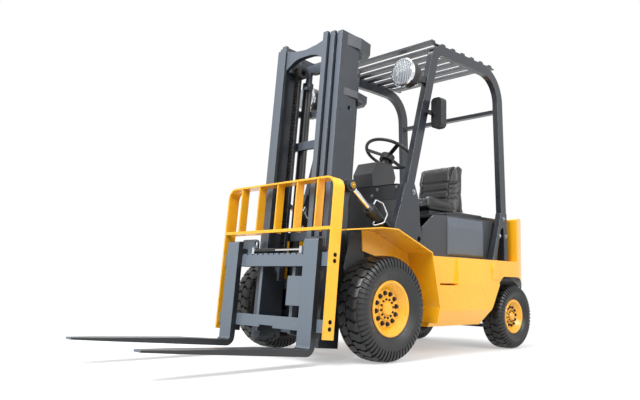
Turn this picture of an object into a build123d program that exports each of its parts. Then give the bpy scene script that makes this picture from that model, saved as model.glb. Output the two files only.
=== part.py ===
from build123d import *
import math
import os

os.makedirs("parts", exist_ok=True)

# Millimetres, +X forward, +Y left, +Z up, floor at Z = 0.
# The layout has X = 0 at the drive axle; save() moves it to the part's own origin.

# Clearances
RUN_GAP = 0.5
SIDE_GAP = 2.0
SEAT_GAP = 0.3
FACE_GAP = 1.0
OVER = 1.0

# Wheels: crown radius, width, rim; the tyre's section is in shares of its wall and half width
DRIVE_R = 335.0
DRIVE_W = 214.0
DRIVE_FLANGE_R = 178.0
DRIVE_BEAD_R = 152.0
DRIVE_FLANGE_Y = 84.0
DRIVE_DISH = 48.0
DRIVE_Y = 518.0
DRIVE_HUB_R = 110.0
DRIVE_HUB_BACK = -112.0
STEER_R = 254.0
STEER_W = 186.0
STEER_FLANGE_R = 135.0
STEER_BEAD_R = 111.0
STEER_FLANGE_Y = 69.0
STEER_DISH = 34.0
STEER_Y = 471.0
STEER_HUB_R = 78.0
STEER_HUB_BACK = -66.0
TYRE_SIDES = 48
TYRE_SHOULDER = [(0.0, 0.62), (0.05, 0.80), (0.17, 0.93), (0.54, 1.0)]
RIM_T = 12.0
RIM_LIP = 10.0
RIM_ROLL = 16.0
RIM_EDGE = 4.0
RIM_WELL = 6.0
RIM_CAP = (24.0, 14.0)
RIM_COLLAR_H = 8.0
RIM_BOSS = 0.30
RIM_COLLAR = 0.48
RIM_DISC = 0.78
WHEELBASE = 1600.0

# Axles
AXLE_TUBE_R = 68.0
AXLE_FLANGE_R = 92.0
DIFF_R = 130.0
DIFF_X = -70.0
INPUT_R = 80.0
INPUT_X = -330.0
SPINDLE_R = 34.0
SPINDLE_END = 6.0
BRACKET_Y = (382.0, 391.0)
BRACKET_ROOT = 60.0
BRACKET_SIDE = [(222.0, 579.0), (154.0, 818.0), (49.0, 812.0), (24.0, 600.0)]
BRACKET_ROUND = {2: 40.0, 3: 14.0, 4: 14.0, 5: 60.0}
KINGPIN_Y = 350.0
KINGPIN_R = 20.0
KINGPIN_END = 8.0
KNUCKLE_R = 42.0
KNUCKLE_HALF = 75.0
ARM_LENGTH = 120.0
ARM_HALF = 16.0
ARM_Z = (184.0, 204.0)
STEER_PLATE_HALF = 45.0
STEER_PLATE_T = 22.0
STEER_WEB_HALF = 38.0
STEER_WEB_Y = 190.0
STEER_CYLINDER_R = 34.0
STEER_CYLINDER_X = 95.0
STEER_CYLINDER_Y = 150.0

# Mast, upright in its own frame, then leant back about the drive axle
REST_TILT = 4.5
RAIL_DEPTH = 175.0
OUTER_FRONT = 357.0
MIDDLE_FRONT = 379.0
INNER_FRONT = 401.0
RAIL_TOP = 2156.0
FLANGE_T = 24.0
WEB_T = 13.0
OUTER_Y = (288.0, 331.0)
MIDDLE_Y = (240.0, 281.0)
INNER_Y = (192.0, 233.0)
OUTER_FOOT = 60.0
MIDDLE_FOOT = 75.0
INNER_FOOT = 90.0
ROLLER_GAP = 0.3
ROLLER_RISE = 120.0
ROLLER_DROP = 150.0
WEB_HOLE = (240.0, 1638.0)
WEB_HOLE_R = 16.0
HEAD_HOLE_R = 36.0
HEAD_HOLE_Z = 2092.0
HOOP_WALL = 34.0
HOOP_HALF = 96.0
FOOT_SHELF = (70.0, 205.0)
FOOT_SHELF_T = 30.0
FOOT_CROSS_X = (80.0, 150.0)
FOOT_CROSS_H = 45.0
TIE_TOP = (2068.0, 2150.0)
TIE_LOW = (1716.0, 1764.0)
TIE_REAR = 22.0
TIE_T = 36.0
TIE_HALF = 262.0
TIE_WING = [
    (300.0, 331.0), (182.0, 347.0), (70.0, 330.0), (22.0, 262.0), (58.0, 240.0), (84.0, 306.0),
    (182.0, 318.0), (182.0, 331.0),
]
CROSS_H = 60.0
MID_CROSS_T = 24.0
MID_CROSS_GAP = 8.0
MID_CROSS_HALF = 278.0
MID_CROSS_Z = (160.0, 760.0, 1420.0, 2000.0)
INNER_CROSS_T = 18.0
INNER_CROSS_Z = (130.0, 430.0)
HEAD_SET = (58.0, 20.0)
HEAD_ROOT = (2120.0, 1960.0)
HEAD_ARCH = [(150.0, 2000.0), (110.0, 2022.0), (60.0, 2032.0), (0.0, 2034.0), (0.0, 2084.0), (110.0, 2096.0)]
HEAD_ROUND = {2: 40.0, 3: 120.0, 7: 120.0}
LIFT_X = 118.0
LIFT_Y = 240.0
BARREL_R = 36.0
LIFT_ROD_R = 24.0
BARREL_FOOT = 280.0
BARREL_TOP = 1960.0
BORE_EXTRA = 20.0
GLAND_H = 40.0
GLAND_EXTRA = 5.0
ROD_TOP = 2085.0
ROD_FOOT = 400.0
ROD_HEAD = (30.0, 28.0)
CHAIN_Y = 150.0
CHAIN_X = 310.0
CHAIN_HALF = 14.0
CHAIN_T = 14.0
CHAIN_PITCH = 84.0
CHAIN_LINK = 0.6
CHAIN_FOOT = 560.0
CHAIN_ANCHOR_Z = (1870.0, 1895.0)
SHEAVE_R = 45.0
SHEAVE_Z = 1985.0
SHEAVE_HALF = 15.0
SHEAVE_GROOVE = 8.0
SHEAVE_LIP = 4.0
SHEAVE_GAP = 3.0
SHEAVE_PIN_R = 12.0
CHEEK_X = (22.0, 10.0)
CHEEK_Z = (-20.0, 60.0)

# Carriage and forks, in the mast's frame
BAR_X = (456.0, 500.0)
UPPER_BAR_Z = (549.0, 633.0)
LOWER_BAR_Z = (157.0, 234.0)
BAR_HALF = 525.0
BAR_NOTCHES = 13
NOTCH_PITCH = 55.0
NOTCH_W = 12.0
NOTCH_H = 10.0
NOTCH_BACK = 8.0
GATE_Y = (-82.0, 52.0)
GATE_H = 14.0
SIDE_PLATE_Y = (150.0, 176.0)
SIDE_PLATE_REACH = 50.0
SIDE_PLATE_FOOT = (110.0, 130.0)
SIDE_PLATE_STEP = (60.0, 30.0, 40.0)
SIDE_PLATE_ROUND = {0: 30.0, 3: 40.0, 5: 30.0}
CARRIAGE_ROLLERS = (170.0, 470.0)
ROLLER_LAP = 4.0
ANCHOR_HALF = 20.0
ANCHOR_H = 90.0
FACE_PLATE_Z = (305.0, 488.0)
FACE_PLATE_LAP = 8.0
LUG_T = 14.0
LUG_BASE_Y = (200.0, 25.0)
LUG_BASE_Z = (60.0, 20.0)
LUG_Y = (230.0, 410.0)
LUG_H = 85.0
LUG_R = 30.0
LUG_HOLE = (255.0, 55.0)
LUG_HOLE_R = 16.0
SHIFT_Y = 228.0
SHIFT_SET = (15.0, 24.0)
SHIFT_SPLIT = -20.0
SHIFT_BARREL_R = 14.0
SHIFT_ROD_R = 9.0
SHIFT_LUG = (30.0, 22.0, 44.0)
FORK_INSET = 133.0
FORK_W = 122.0
FORK_T = 40.0
FORK_LENGTH = 1070.0
FORK_TOP = 716.0
FORK_TOP_R = (8.0, 14.0)
FORK_FLOOR = 14.0
FORK_TIP_T = 12.0
FORK_TIP_HALF = 34.0
FORK_TAPER = 190.0
FORK_WEDGE = 750.0
FORK_HEEL_R = 64.0
FORK_HOOK = 38.0
HOOK_BACK = 6.0
BACKREST_X = (434.0, 520.0)
BACKREST_TOP = 1100.0
BACKREST_FOOT = 120.0
BACKREST_T = 12.0
BACKREST_R = 75.0
GRILLE_BARS = 5
GRILLE_MARGIN = 0.5
GRILLE_BAR_T = 10.0
GRILLE_BAR_DEPTH = 62.0
GRILLE_RAIL = (22.0, 20.0)
GRILLE_Z = 767.0

# Tilt cylinders
TILT_EYE = (205.0, 1110.0)
TILT_Y = 356.0
TILT_ANGLE = 35.0
TILT_LENGTH = 700.0
TILT_BARREL_R = 38.0
TILT_BARREL_X = (40.0, 470.0)
TILT_BORE = 90.0
TILT_GLAND = (7.0, 46.0)
TILT_LUG_R = 32.0
TILT_LUG_HALF = 22.0
TILT_TONGUE = (50.0, 18.0, 26.0)
TILT_ROD_R = 20.0
TILT_ROD_X = (235.0, 26.0)
TILT_PIN_R = 16.0
TILT_PIN_END = 28.0
TILT_CAP_R = 24.0
TILT_CAP_Y = (24.0, 32.0)
TILT_BOSS_R = 46.0
TILT_EYE_R = 40.0
TILT_EYE_HALF = 20.0
EYE_GAP = 5.5
EAR_T = (16.0, 12.0)
EAR_SIDE = 24.0
EAR_FOOT = (70.0, 50.0)
EAR_ROOT = 30.0
EAR_HEAD = (30.0, 28.0)
EAR_R = 24.0
PIPE_R = 7.0
PIPE_BEND = 12.0
PIPE_ROUTE = [
    (-22.0, 0.0, 92.0), (-66.0, 30.0, 96.0), (-120.0, 62.0, 40.0), (-124.0, 62.0, -30.0),
    (-104.0, 22.0, -64.0), (-94.0, 0.0, -66.0),
]

# Chassis
SIDE_Y = 575.0
SIDE_TOP = 690.0
SIDE_BOTTOM = 205.0
SIDE_CREASE = (500.0, 312.0)
SIDE_LEAN = (12.0, 4.0)
SIDE_TUCK = 50.0
TANK_IN = 392.0
TANK_REACH = 270.0
TANK_FRONT = -400.0
TANK_CUT = -300.0
PLATE_Y = (340.0, 380.0)
PLATE_Z = (250.0, 590.0)
PLATE_FRONT = 70.0
RIB_FRONT = -540.0
CROSS_REACH = 360.0
CROSS_T = 40.0
FLOOR_CROSS_X = (-560.0, -480.0)
FLOOR_CROSS_Z = 480.0
BELLY_T = 12.0
STEP_DEPTH = 22.0
STEP_X = (-508.0, -784.0)
STEP_SLANT = (38.0, 8.0)
STEP_R = 20.0
STEP_Z = 502.0
SLOT_H = 12.0
SLOT_DEPTH = 80.0
SLOT_INSET = (16.0, 4.0)
COVER_X = 330.0
COVER_R = 48.0
COVER_Z = (540.0, 620.0)
COVER_Y = (30.0, 3.0)
FENDER = [(430.0, 808.0), (107.0, 843.0), (-49.0, 843.0), (-417.0, 709.0), (-506.0, 340.0), (-476.0, 230.0)]
FENDER_RUN_ON = 0.25
FENDER_Y = (400.0, 612.0)
FENDER_T = 8.0
FENDER_WALL = [
    (60.0, 834.0), (-49.0, 834.0), (-411.0, 702.0), (-450.0, 545.0), (-300.0, 520.0), (-120.0, 660.0),
    (60.0, 700.0),
]
FENDER_WALL_ROUND = {4: 60.0, 5: 80.0}
FENDER_NOSE = [(320.0, 390.0), (320.0, 545.0), (440.0, 618.0), (440.0, 390.0)]
FENDER_NOSE_Z = (700.0, 900.0)

# Counterweight, from the steered axle
TAIL = 385.0
WEIGHT_RISE = 25.0
WEIGHT_TOP = 1045.0
WEIGHT_HALF = 560.0
WEIGHT_BOTTOM = 300.0
WEIGHT_PLAN_R = 400.0
WEIGHT_TOP_R = 170.0
WEIGHT_FRONT_R = 24.0
ARCH_TOP = 566.0
ARCH_IN_Y = 470.0
ARCH_FRONT = [(490.0, SIDE_BOTTOM - OVER), (365.0, 331.0), (265.0, 507.0), (190.0, ARCH_TOP)]
ARCH_REAR = [(-60.0, ARCH_TOP), (-215.0, 486.0), (-300.0, 395.0), (-340.0, 250.0), (-340.0, 0.0)]
ARCH_ROUND = {3: 60.0, 4: 90.0, 5: 90.0, 6: 90.0}
TUNNEL = [(300.0, 0.0), (300.0, ARCH_TOP), (-240.0, ARCH_TOP), (-345.0, 380.0), (-345.0, 0.0)]
TUNNEL_ROUND = {2: 90.0, 3: 90.0}
KEEL_HALF = 112.0
KEEL_H = 150.0
KEEL_TAIL = 100.0
TOW_INSET = 29.0
TOW_R = 17.0
TOW_HALF = 90.0
TOW_Z = (400.0, 500.0)
TOW_TOP = 520.0
TOW_DEPTH = 53.0
GRILLE_HALF = 190.0
GRILLE_ROWS = 6
GRILLE_TALL = (560.0, 800.0)
GRILLE_DEPTH = 25.0
GRILLE_BACK_T = 2.0
LOUVRE_T = 16.0

# Engine under the hood
ENGINE_X = (450.0, -620.0)
ENGINE_HALF = 230.0
ENGINE_TOP = 780.0
HEAD_COVER_X = (480.0, -700.0)
HEAD_COVER_HALF = 150.0
HEAD_COVER_TOP = 930.0
CLUTCH_R = 120.0
CLUTCH_Z = 480.0
CLUTCH_X = (-700.0, -562.0)

# Floor, bulkhead, hood and lid
FLOOR_X = (-519.0, -220.0)
FLOOR_Z = 700.0
FLOOR_HALF = 300.0
BULKHEAD_HALF = 450.0
BULKHEAD_SIDE = [(-200.0, 640.0), (-214.0, 640.0), (-262.0, 1172.0), (-248.0, 1172.0)]
BULKHEAD_CUT_X = (-300.0, -150.0)
BULKHEAD_CUT_Z = (639.0, 1070.0)
DASH_Z = 1180.0
DASH_T = 14.0
DASH_X = (-262.0, -250.0, -420.0)
DASH_HALF = 430.0
WELL_FRONT = (-206.0, -255.0)
WELL_REAR = [(-420.0, 1040.0), (-450.0, 860.0)]
WELL_R = 40.0
WALL_T = 12.0
HOOD_HALF = 455.0
HOOD_T = 12.0
HOOD_REAR = 10.0
HOOD_NOSE = [(-500.0, 890.0), (-640.0, 994.0)]
HOOD_FRONT = -520.0
HOOD_CROWN = -860.0
HOOD_ROUND = {1: 30.0, 2: 120.0}
PANEL_X = (-803.0, 322.0)
PANEL_T = 16.0
PANEL_BEVEL = 40.0
PANEL_Z = (706.0, 920.0, 1000.0)
LID_LENGTH = 695.0
LID_HALF = 400.0
LID_REAR = 25.0
LID_T = 35.0
LID_NOSE = (18.0, 50.0)
LID_NOSE_R = 60.0
DECK_Z = 1008.0
DECK_HOLE = (640.0, 350.0)
DECK_HOLE_X = 35.0
HINGE_R = 9.0
HINGE_ROOM = 4.0
HINGE_Y = (250.0, 300.0, 350.0)
GRAB_X = (75.0, 475.0)
GRAB_Y = 300.0
GRAB_R = 8.0
GRAB_POST_R = 6.0
GRAB_INSET = 10.0
GRAB_RISE = 19.0

# Console, column and controls
CONSOLE_HALF = 95.0
CONSOLE_SIDE = [(-365.0, 1300.0), (-420.0, 1396.0), (-600.0, 1400.0), (-640.0, 1300.0)]
CONSOLE_FOOT = (-380.0, -600.0)
CONSOLE_ROUND = {1: 20.0, 2: 16.0, 3: 30.0, 4: 30.0}
CONSOLE_BASE_X = (-420.0, -380.0)
CONSOLE_BASE_HALF = 150.0
CONSOLE_BASE_H = 20.0
RIBS = 8
RIB_X = -430.0
RIB_PITCH = 20.0
RIB_W = 10.0
RIB_Z = (1391.0, 1410.0)
WHEEL_CENTRE = (-670.0, 0.0, 1505.0)
WHEEL_R = 185.0
WHEEL_TUBE_R = 13.0
WHEEL_HUB_R = 56.0
WHEEL_HUB_TOP = -22.0
SPOKE_ANGLES = (60.0, 180.0, 300.0)
SPOKE = (30.0, 12.0)
SPOKE_DROP = 16.0
SPOKE_LEAN = 8.0
COLUMN_LEAN = 28.0
COLUMN_R = 44.0
COLUMN_TAPER = 10.0
COLUMN_FOOT = -260.0
COLUMN_NECK = -150.0
COLUMN_TOP = -72.5
LEVERS = 3
LEVER_PITCH = 55.0
LEVER_X = -600.0
LEVER_Y = -150.0
LEVER_SHELF = (-50.0, 40.0, 30.0)
LEVER_BOOT = (16.0, 18.0)
LEVER_ROD = (6.0, 90.0)
LEVER_KNOB = (15.0, 88.0, 124.0)
SHELF_Z = 1265.0
PEDALS = ((-60.0, 70.0), (-190.0, 60.0), (110.0, 70.0))
PEDAL_PAD = [(-300.0, 760.0), (-308.0, 764.0), (-348.0, 850.0), (-340.0, 854.0)]
PEDAL_FOOT = (-240.0, -262.0)
PEDAL_ARM = [(-322.0, 806.0), (-312.0, 806.0)]
PEDAL_ARM_HALF = 8.0

# Seat: side outlines from its hip line, forward and up
SEAT_SPLIT = 338.0
SEAT_RISE = 29.0
SEAT_HALF = 205.0
SEAT_PAD_HALF = 138.0
SEAT_PAN_X = (6.0, 322.0)
SEAT_PAN_HALF = 190.0
CUSHION_SIDE = [
    (0.0, 0.0), (322.0, 0.0), (362.0, 30.0), (356.0, 92.0), (310.0, 86.0), (120.0, 66.0), (0.0, 74.0),
]
CUSHION_ROUND = {2: 20.0, 3: 30.0, 5: 90.0}
BOLSTER_SIDE = [
    (0.0, 0.0), (322.0, 0.0), (362.0, 30.0), (352.0, 96.0), (300.0, 112.0), (120.0, 96.0), (0.0, 92.0),
]
BOLSTER_ROUND = {2: 20.0, 3: 30.0, 4: 60.0}
BACK_SIDE = [
    (0.0, 0.0), (0.0, 78.0), (-56.0, 437.0), (-84.0, 465.0), (-134.0, 469.0), (-174.0, 450.0),
    (-140.0, 200.0), (-150.0, 0.0),
]
BACK_ROUND = {2: 60.0, 3: 20.0, 4: 20.0, 5: 20.0}
WING_SIDE = [
    (0.0, 0.0), (0.0, 90.0), (-34.0, 330.0), (-70.0, 440.0), (-110.0, 460.0), (-160.0, 440.0),
    (-150.0, 200.0), (-150.0, 0.0),
]
WING_ROUND = {3: 40.0, 4: 20.0, 5: 20.0}
SEAT_EDGE_R = 12.0

# Overhead guard
GUARD_Y = (472.0, 518.0)
GUARD_DEPTH = 76.0
ROOF_Z = 2255.0
GUARD_FRONT_R = 110.0
GUARD_REAR_R = 240.0
ROOF_JOINT = -1020.0
PILLAR_FOOT = (-285.0, 1150.0)
PILLAR_HEAD = -590.0
REAR_HEAD = (155.0, 10.0)
REAR_FOOT = (105.0, 1060.0)
FOOT_SIDE = [
    (-112.0, 825.0), (-236.0, 1175.0), (-335.0, 1175.0), (-382.0, 1070.0), (-396.0, 900.0), (-452.0, 760.0),
    (-452.0, 690.3), (-424.0, 709.5),
]
FOOT_ROUND = {3: 60.0, 4: 80.0, 5: 60.0}
FOOT_HOLE = (-385.0, 800.0)
FOOT_HOLE_R = 20.0
LEG_SIDE = [
    (150.0, 1075.0), (60.0, 1075.0), (45.0, SIDE_TOP), (95.0, SIDE_TOP), (105.0, 940.0), (125.0, 965.0),
    (150.0, 940.0), (225.0, SIDE_TOP), (275.0, SIDE_TOP), (180.0, 960.0),
]
LEG_ROUND = {4: 14.0, 6: 14.0, 9: 60.0}
REAR_BAR_X = (120.0, 170.0)
REAR_BAR_Z = (1900.0, 1930.0)
SLATS = 7
SLAT_W = 62.0
SLAT_T = 26.0
SLAT_BEVEL = 9.0
SLAT_R = 6.0
SLAT_HALF = 500.0
ROOF_FRONT = -540.0
ROOF_REAR = 200.0
ROOF_MARGIN = 30.0
STRIP_T = 10.0
STRIP_FRONT = (20.0, 10.0)

# Lamps and mirror on the front pillars
LAMP_Y = 495.0
LAMP_Z = 1950.0
LAMP_R = 96.0
LAMP_FRONT = -225.0
LAMP_EDGE = -300.0
LAMP_WAIST = -318.0
LAMP_BACK = -372.0
LAMP_BACK_R = 58.0
LAMP_INSET = 8.0
STALK = (25.0, 15.0)
LENS_DOME = [(50.0, 20.0), (96.0, 24.0)]
MIRROR_X = (-560.0, -500.0)
MIRROR_Y = (532.0, 622.0)
MIRROR_Z = (1595.0, 1815.0)
MIRROR_R = 30.0
MIRROR_ARM_X = (-520.0, -440.0)
MIRROR_ARM_END = 560.0
MIRROR_ARM_Z = (1698.0, 1716.0)

steer_x = -WHEELBASE
rear_x = steer_x - TAIL
weight_front = steer_x + TANK_REACH
fork_y = BAR_HALF - FORK_INSET
guard_z = ROOF_Z - GUARD_DEPTH / 2


def block(x0, x1, y0, y1, z0, z1):
    return Pos((x0 + x1) / 2, (y0 + y1) / 2, (z0 + z1) / 2) * Box(abs(x1 - x0), y1 - y0, z1 - z0)


def face_of(outline):
    return outline if isinstance(outline, Sketch) else Polygon(*outline, align=None)


def rounded(points, corners):
    """Polygon with round corners: corners maps the number of a point to its radius."""
    face = Polygon(*points, align=None)
    for number, radius in corners.items():
        corner = face.vertices().sort_by_distance(Vector(*points[number], 0))[0]
        face = fillet(corner, radius)
    return face


def side_prism(outline, y0, y1):
    return Pos(0, y1, 0) * extrude(Plane.XZ * face_of(outline), amount=y1 - y0, dir=(0, -1, 0))


def plan_prism(outline, z0, z1):
    return Pos(0, 0, z0) * extrude(face_of(outline), amount=z1 - z0, dir=(0, 0, 1))


def front_prism(outline, x0, x1):
    return Pos(x0, 0, 0) * extrude(Plane.YZ * face_of(outline), amount=x1 - x0, dir=(1, 0, 0))


def rod_x(r, y, z, x0, x1):
    return Pos((x0 + x1) / 2, y, z) * Rot(0, 90, 0) * Cylinder(r, x1 - x0)


def rod_y(r, x, z, y0, y1):
    return Pos(x, (y0 + y1) / 2, z) * Rot(90, 0, 0) * Cylinder(r, y1 - y0)


def rod_z(r, x, y, z0, z1):
    return Pos(x, y, (z0 + z1) / 2) * Cylinder(r, z1 - z0)


def flip(shape):
    return mirror(shape, about=Plane.XZ)


def both(shape):
    return shape + flip(shape)


def total(shapes):
    out = shapes[0]
    for shape in shapes[1:]:
        out += shape
    return out


def from_steer(points):
    return [(steer_x + x, z) for x, z in points]


def shifted(points, gap):
    """Polyline moved sideways by gap, to the right of its direction."""
    lines = []
    for (x0, z0), (x1, z1) in zip(points, points[1:]):
        length = math.hypot(x1 - x0, z1 - z0)
        nx = (z1 - z0) / length * gap
        nz = -(x1 - x0) / length * gap
        lines.append(((x0 + nx, z0 + nz), (x1 + nx, z1 + nz)))
    out = [lines[0][0]]
    for (a, b), (c, d) in zip(lines, lines[1:]):
        ux, uz = b[0] - a[0], b[1] - a[1]
        vx, vz = d[0] - c[0], d[1] - c[1]
        k = ((c[0] - a[0]) * vz - (c[1] - a[1]) * vx) / (ux * vz - uz * vx)
        out.append((a[0] + ux * k, a[1] + uz * k))
    out.append(lines[-1][1])
    return out


def folded(points, thick, y0, y1):
    return side_prism(points + shifted(points, -thick)[::-1], y0, y1)


def bent_bar(points, radius, depth, y0, y1):
    path = FilletPolyline(*[(x, (y0 + y1) / 2, z) for x, z in points], radius=radius)
    start = Plane(origin=path @ 0, x_dir=(0, 1, 0), z_dir=path % 0)
    return sweep(start * Rectangle(y1 - y0, depth), path=path)


def pipe(points, radius, bend):
    path = FilletPolyline(*points, radius=bend)
    return sweep(Plane(origin=path @ 0, z_dir=path % 0) * Circle(radius), path=path)


def turned(points):
    return revolve(Polygon(*points, align=None), axis=Axis.Y)


def turned_x(points, y, z):
    """Revolve about a line along X; each point is a radius and a place along X."""
    return Pos(0, y, z) * Rot(0, 0, -90) * turned(points)


def leant(shape):
    return Pos(0, 0, DRIVE_R) * Rot(0, -REST_TILT, 0) * Pos(0, 0, -DRIVE_R) * shape


def leant_point(x, z):
    a = math.radians(REST_TILT)
    dz = z - DRIVE_R
    return x * math.cos(a) - dz * math.sin(a), DRIVE_R + x * math.sin(a) + dz * math.cos(a)


fork_tip = leant_point(BAR_X[1] + FORK_T + FORK_LENGTH, FORK_FLOOR)
origin_x = (fork_tip[0] + rear_x) / 2


def save(name, shape):
    export_step(Pos(-origin_x, 0, 0) * shape, "parts/" + name + ".step")


# Wheels: local frame, +Y outward, centre at the origin


def ring_stack(sections):
    """Flat-sided body through regular polygons that narrow along Y, each an inner radius and a place."""
    turn = 180 / TYRE_SIDES
    bands = []
    for (r0, y0), (r1, y1) in zip(sections, sections[1:]):
        base = RegularPolygon(r0, TYRE_SIDES, major_radius=False, rotation=turn)
        taper = math.degrees(math.atan2(r0 - r1, y1 - y0))
        bands.append(Pos(0, y0, 0) * Rot(-90, 0, 0) * extrude(base, amount=y1 - y0, taper=taper))
    return total(bands)


def tyre(radius, width, flange_r, bead_r, flange_y):
    half = width / 2
    bead = flange_y - RIM_LIP - RUN_GAP
    wall = radius - flange_r
    shoulder = [(radius - wall * drop, half * share) for drop, share in TYRE_SHOULDER]
    body = both(ring_stack([(radius, 0)] + shoulder))
    dish = ring_stack([(shoulder[-1][0], -half), (flange_r + SIDE_GAP, -bead)])
    bore = ring_stack([(bead_r + RUN_GAP, -half), (bead_r + RUN_GAP, half)])
    return body - both(dish) - bore


def rim(flange_r, bead_r, flange_y, dish, hub_r, hub_back):
    seat = flange_y - RIM_LIP
    inner = bead_r - RIM_T
    face = flange_y - dish
    boss = bead_r * RIM_BOSS
    collar = bead_r * RIM_COLLAR
    body = turned([
        (0, face + RIM_CAP[0]),
        (boss - RIM_CAP[0] + RIM_CAP[1], face + RIM_CAP[0]),
        (boss, face + RIM_CAP[1]),
        (boss, face + RIM_COLLAR_H),
        (collar, face + RIM_COLLAR_H),
        (collar + RIM_WELL, face),
        (bead_r * RIM_DISC, face),
        (bead_r - RIM_WELL, seat - RIM_WELL),
        (flange_r - RIM_ROLL, flange_y),
        (flange_r - RIM_EDGE, flange_y),
        (flange_r, flange_y - RIM_EDGE),
        (flange_r, seat),
        (bead_r, seat),
        (bead_r, -seat),
        (flange_r, -seat),
        (flange_r, -flange_y),
        (bead_r - RIM_WELL, -flange_y),
        (inner, RIM_WELL - flange_y),
        (inner, face - RIM_T),
        (hub_r, face - RIM_T),
        (hub_r, hub_back),
        (0, hub_back),
    ])
    return body - rod_y(SPINDLE_R + RUN_GAP, 0, 0, hub_back, 0)


drive_tyre = tyre(DRIVE_R, DRIVE_W, DRIVE_FLANGE_R, DRIVE_BEAD_R, DRIVE_FLANGE_Y)
steer_tyre = tyre(STEER_R, STEER_W, STEER_FLANGE_R, STEER_BEAD_R, STEER_FLANGE_Y)
drive_rim = rim(DRIVE_FLANGE_R, DRIVE_BEAD_R, DRIVE_FLANGE_Y, DRIVE_DISH, DRIVE_HUB_R, DRIVE_HUB_BACK)
steer_rim = rim(STEER_FLANGE_R, STEER_BEAD_R, STEER_FLANGE_Y, STEER_DISH, STEER_HUB_R, STEER_HUB_BACK)
for kind, x, y, r, rubber, steel in (
    ("drive", 0, DRIVE_Y, DRIVE_R, drive_tyre, drive_rim),
    ("steer", steer_x, STEER_Y, STEER_R, steer_tyre, steer_rim),
):
    for side, sign in (("left", 1), ("right", -1)):
        seat = Pos(x, sign * y, r)
        save(kind + "_tyre_" + side, seat * (rubber if sign > 0 else flip(rubber)))
        save(kind + "_rim_" + side, seat * (steel if sign > 0 else flip(steel)))

# Drive axle: tube with the final-drive housing, spindles, and an arm under the fender's front
tube_end = DRIVE_Y + DRIVE_HUB_BACK - RUN_GAP
axle = rod_y(AXLE_TUBE_R, 0, DRIVE_R, -tube_end, tube_end)
axle += rod_y(SPINDLE_R, 0, DRIVE_R, SPINDLE_END - DRIVE_Y, DRIVE_Y - SPINDLE_END)
axle += Pos(DIFF_X, 0, DRIVE_R) * Sphere(DIFF_R)
axle += rod_x(INPUT_R, 0, DRIVE_R, INPUT_X, DIFF_X)
bracket_side = [(-BRACKET_ROOT, DRIVE_R), (BRACKET_ROOT, DRIVE_R)] + BRACKET_SIDE
bracket = side_prism(rounded(bracket_side, BRACKET_ROUND), *BRACKET_Y)
axle += both(rod_y(AXLE_FLANGE_R, 0, DRIVE_R, BRACKET_Y[0], tube_end) + bracket)
save("drive_axle", axle)

# Steer axle: two plates with a web between them, open at the ends for the knuckles' arms
knuckle_z = (STEER_R - KNUCKLE_HALF, STEER_R + KNUCKLE_HALF)
steer_axle = block(
    steer_x - STEER_WEB_HALF, steer_x + STEER_WEB_HALF, -STEER_WEB_Y, STEER_WEB_Y,
    knuckle_z[0] - STEER_PLATE_T, knuckle_z[1] + STEER_PLATE_T,
)
plate_x = (steer_x - STEER_PLATE_HALF, steer_x + STEER_PLATE_HALF)
for z in (knuckle_z[0] - FACE_GAP - STEER_PLATE_T, knuckle_z[1] + FACE_GAP):
    steer_axle += block(*plate_x, -KINGPIN_Y, KINGPIN_Y, z, z + STEER_PLATE_T)
    steer_axle += both(rod_z(STEER_PLATE_HALF, steer_x, KINGPIN_Y, z, z + STEER_PLATE_T))
pin_reach = KNUCKLE_HALF + STEER_PLATE_T + KINGPIN_END
steer_axle += both(rod_z(KINGPIN_R, steer_x, KINGPIN_Y, STEER_R - pin_reach, STEER_R + pin_reach))
steer_axle += block(*plate_x, -KEEL_HALF, KEEL_HALF, knuckle_z[1], ARCH_TOP - KEEL_H)
cylinder_x = steer_x + STEER_CYLINDER_X
steer_axle += rod_y(STEER_CYLINDER_R, cylinder_x, STEER_R, -STEER_CYLINDER_Y, STEER_CYLINDER_Y)
steer_axle += block(
    steer_x, cylinder_x, -STEER_CYLINDER_Y / 2, STEER_CYLINDER_Y / 2,
    STEER_R - STEER_CYLINDER_R / 2, STEER_R + STEER_CYLINDER_R / 2,
)
save("steer_axle", steer_axle)

# Knuckles: barrel on the kingpin, spindle into the wheel, steering arm between the axle's plates
knuckle = rod_z(KNUCKLE_R, steer_x, KINGPIN_Y, *knuckle_z)
knuckle += rod_y(SPINDLE_R + RIM_T, steer_x, STEER_R, KINGPIN_Y, STEER_Y + STEER_HUB_BACK - RUN_GAP)
knuckle += rod_y(SPINDLE_R, steer_x, STEER_R, KINGPIN_Y, STEER_Y - SPINDLE_END)
knuckle += block(steer_x, steer_x + ARM_LENGTH, KINGPIN_Y - ARM_HALF, KINGPIN_Y + ARM_HALF, *ARM_Z)
knuckle += rod_z(ARM_HALF, steer_x + ARM_LENGTH, KINGPIN_Y, *ARM_Z)
knuckle -= rod_z(KINGPIN_R + RUN_GAP, steer_x, KINGPIN_Y, *knuckle_z)
save("knuckle_left", knuckle)
save("knuckle_right", flip(knuckle))

# Mast: three nested stages, each set forward of the last; rollers run inside the neighbour's flanges
roller_r = RAIL_DEPTH / 2 - FLANGE_T - ROLLER_GAP
outer_mid = OUTER_FRONT - RAIL_DEPTH / 2
middle_mid = MIDDLE_FRONT - RAIL_DEPTH / 2
inner_mid = INNER_FRONT - RAIL_DEPTH / 2
outer_rear = OUTER_FRONT - RAIL_DEPTH
middle_rear = MIDDLE_FRONT - RAIL_DEPTH
inner_rear = INNER_FRONT - RAIL_DEPTH
outer_web = OUTER_Y[1] - WEB_T
middle_y = sum(MIDDLE_Y) / 2
inner_y = sum(INNER_Y) / 2
roller_top = RAIL_TOP - ROLLER_DROP


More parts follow.
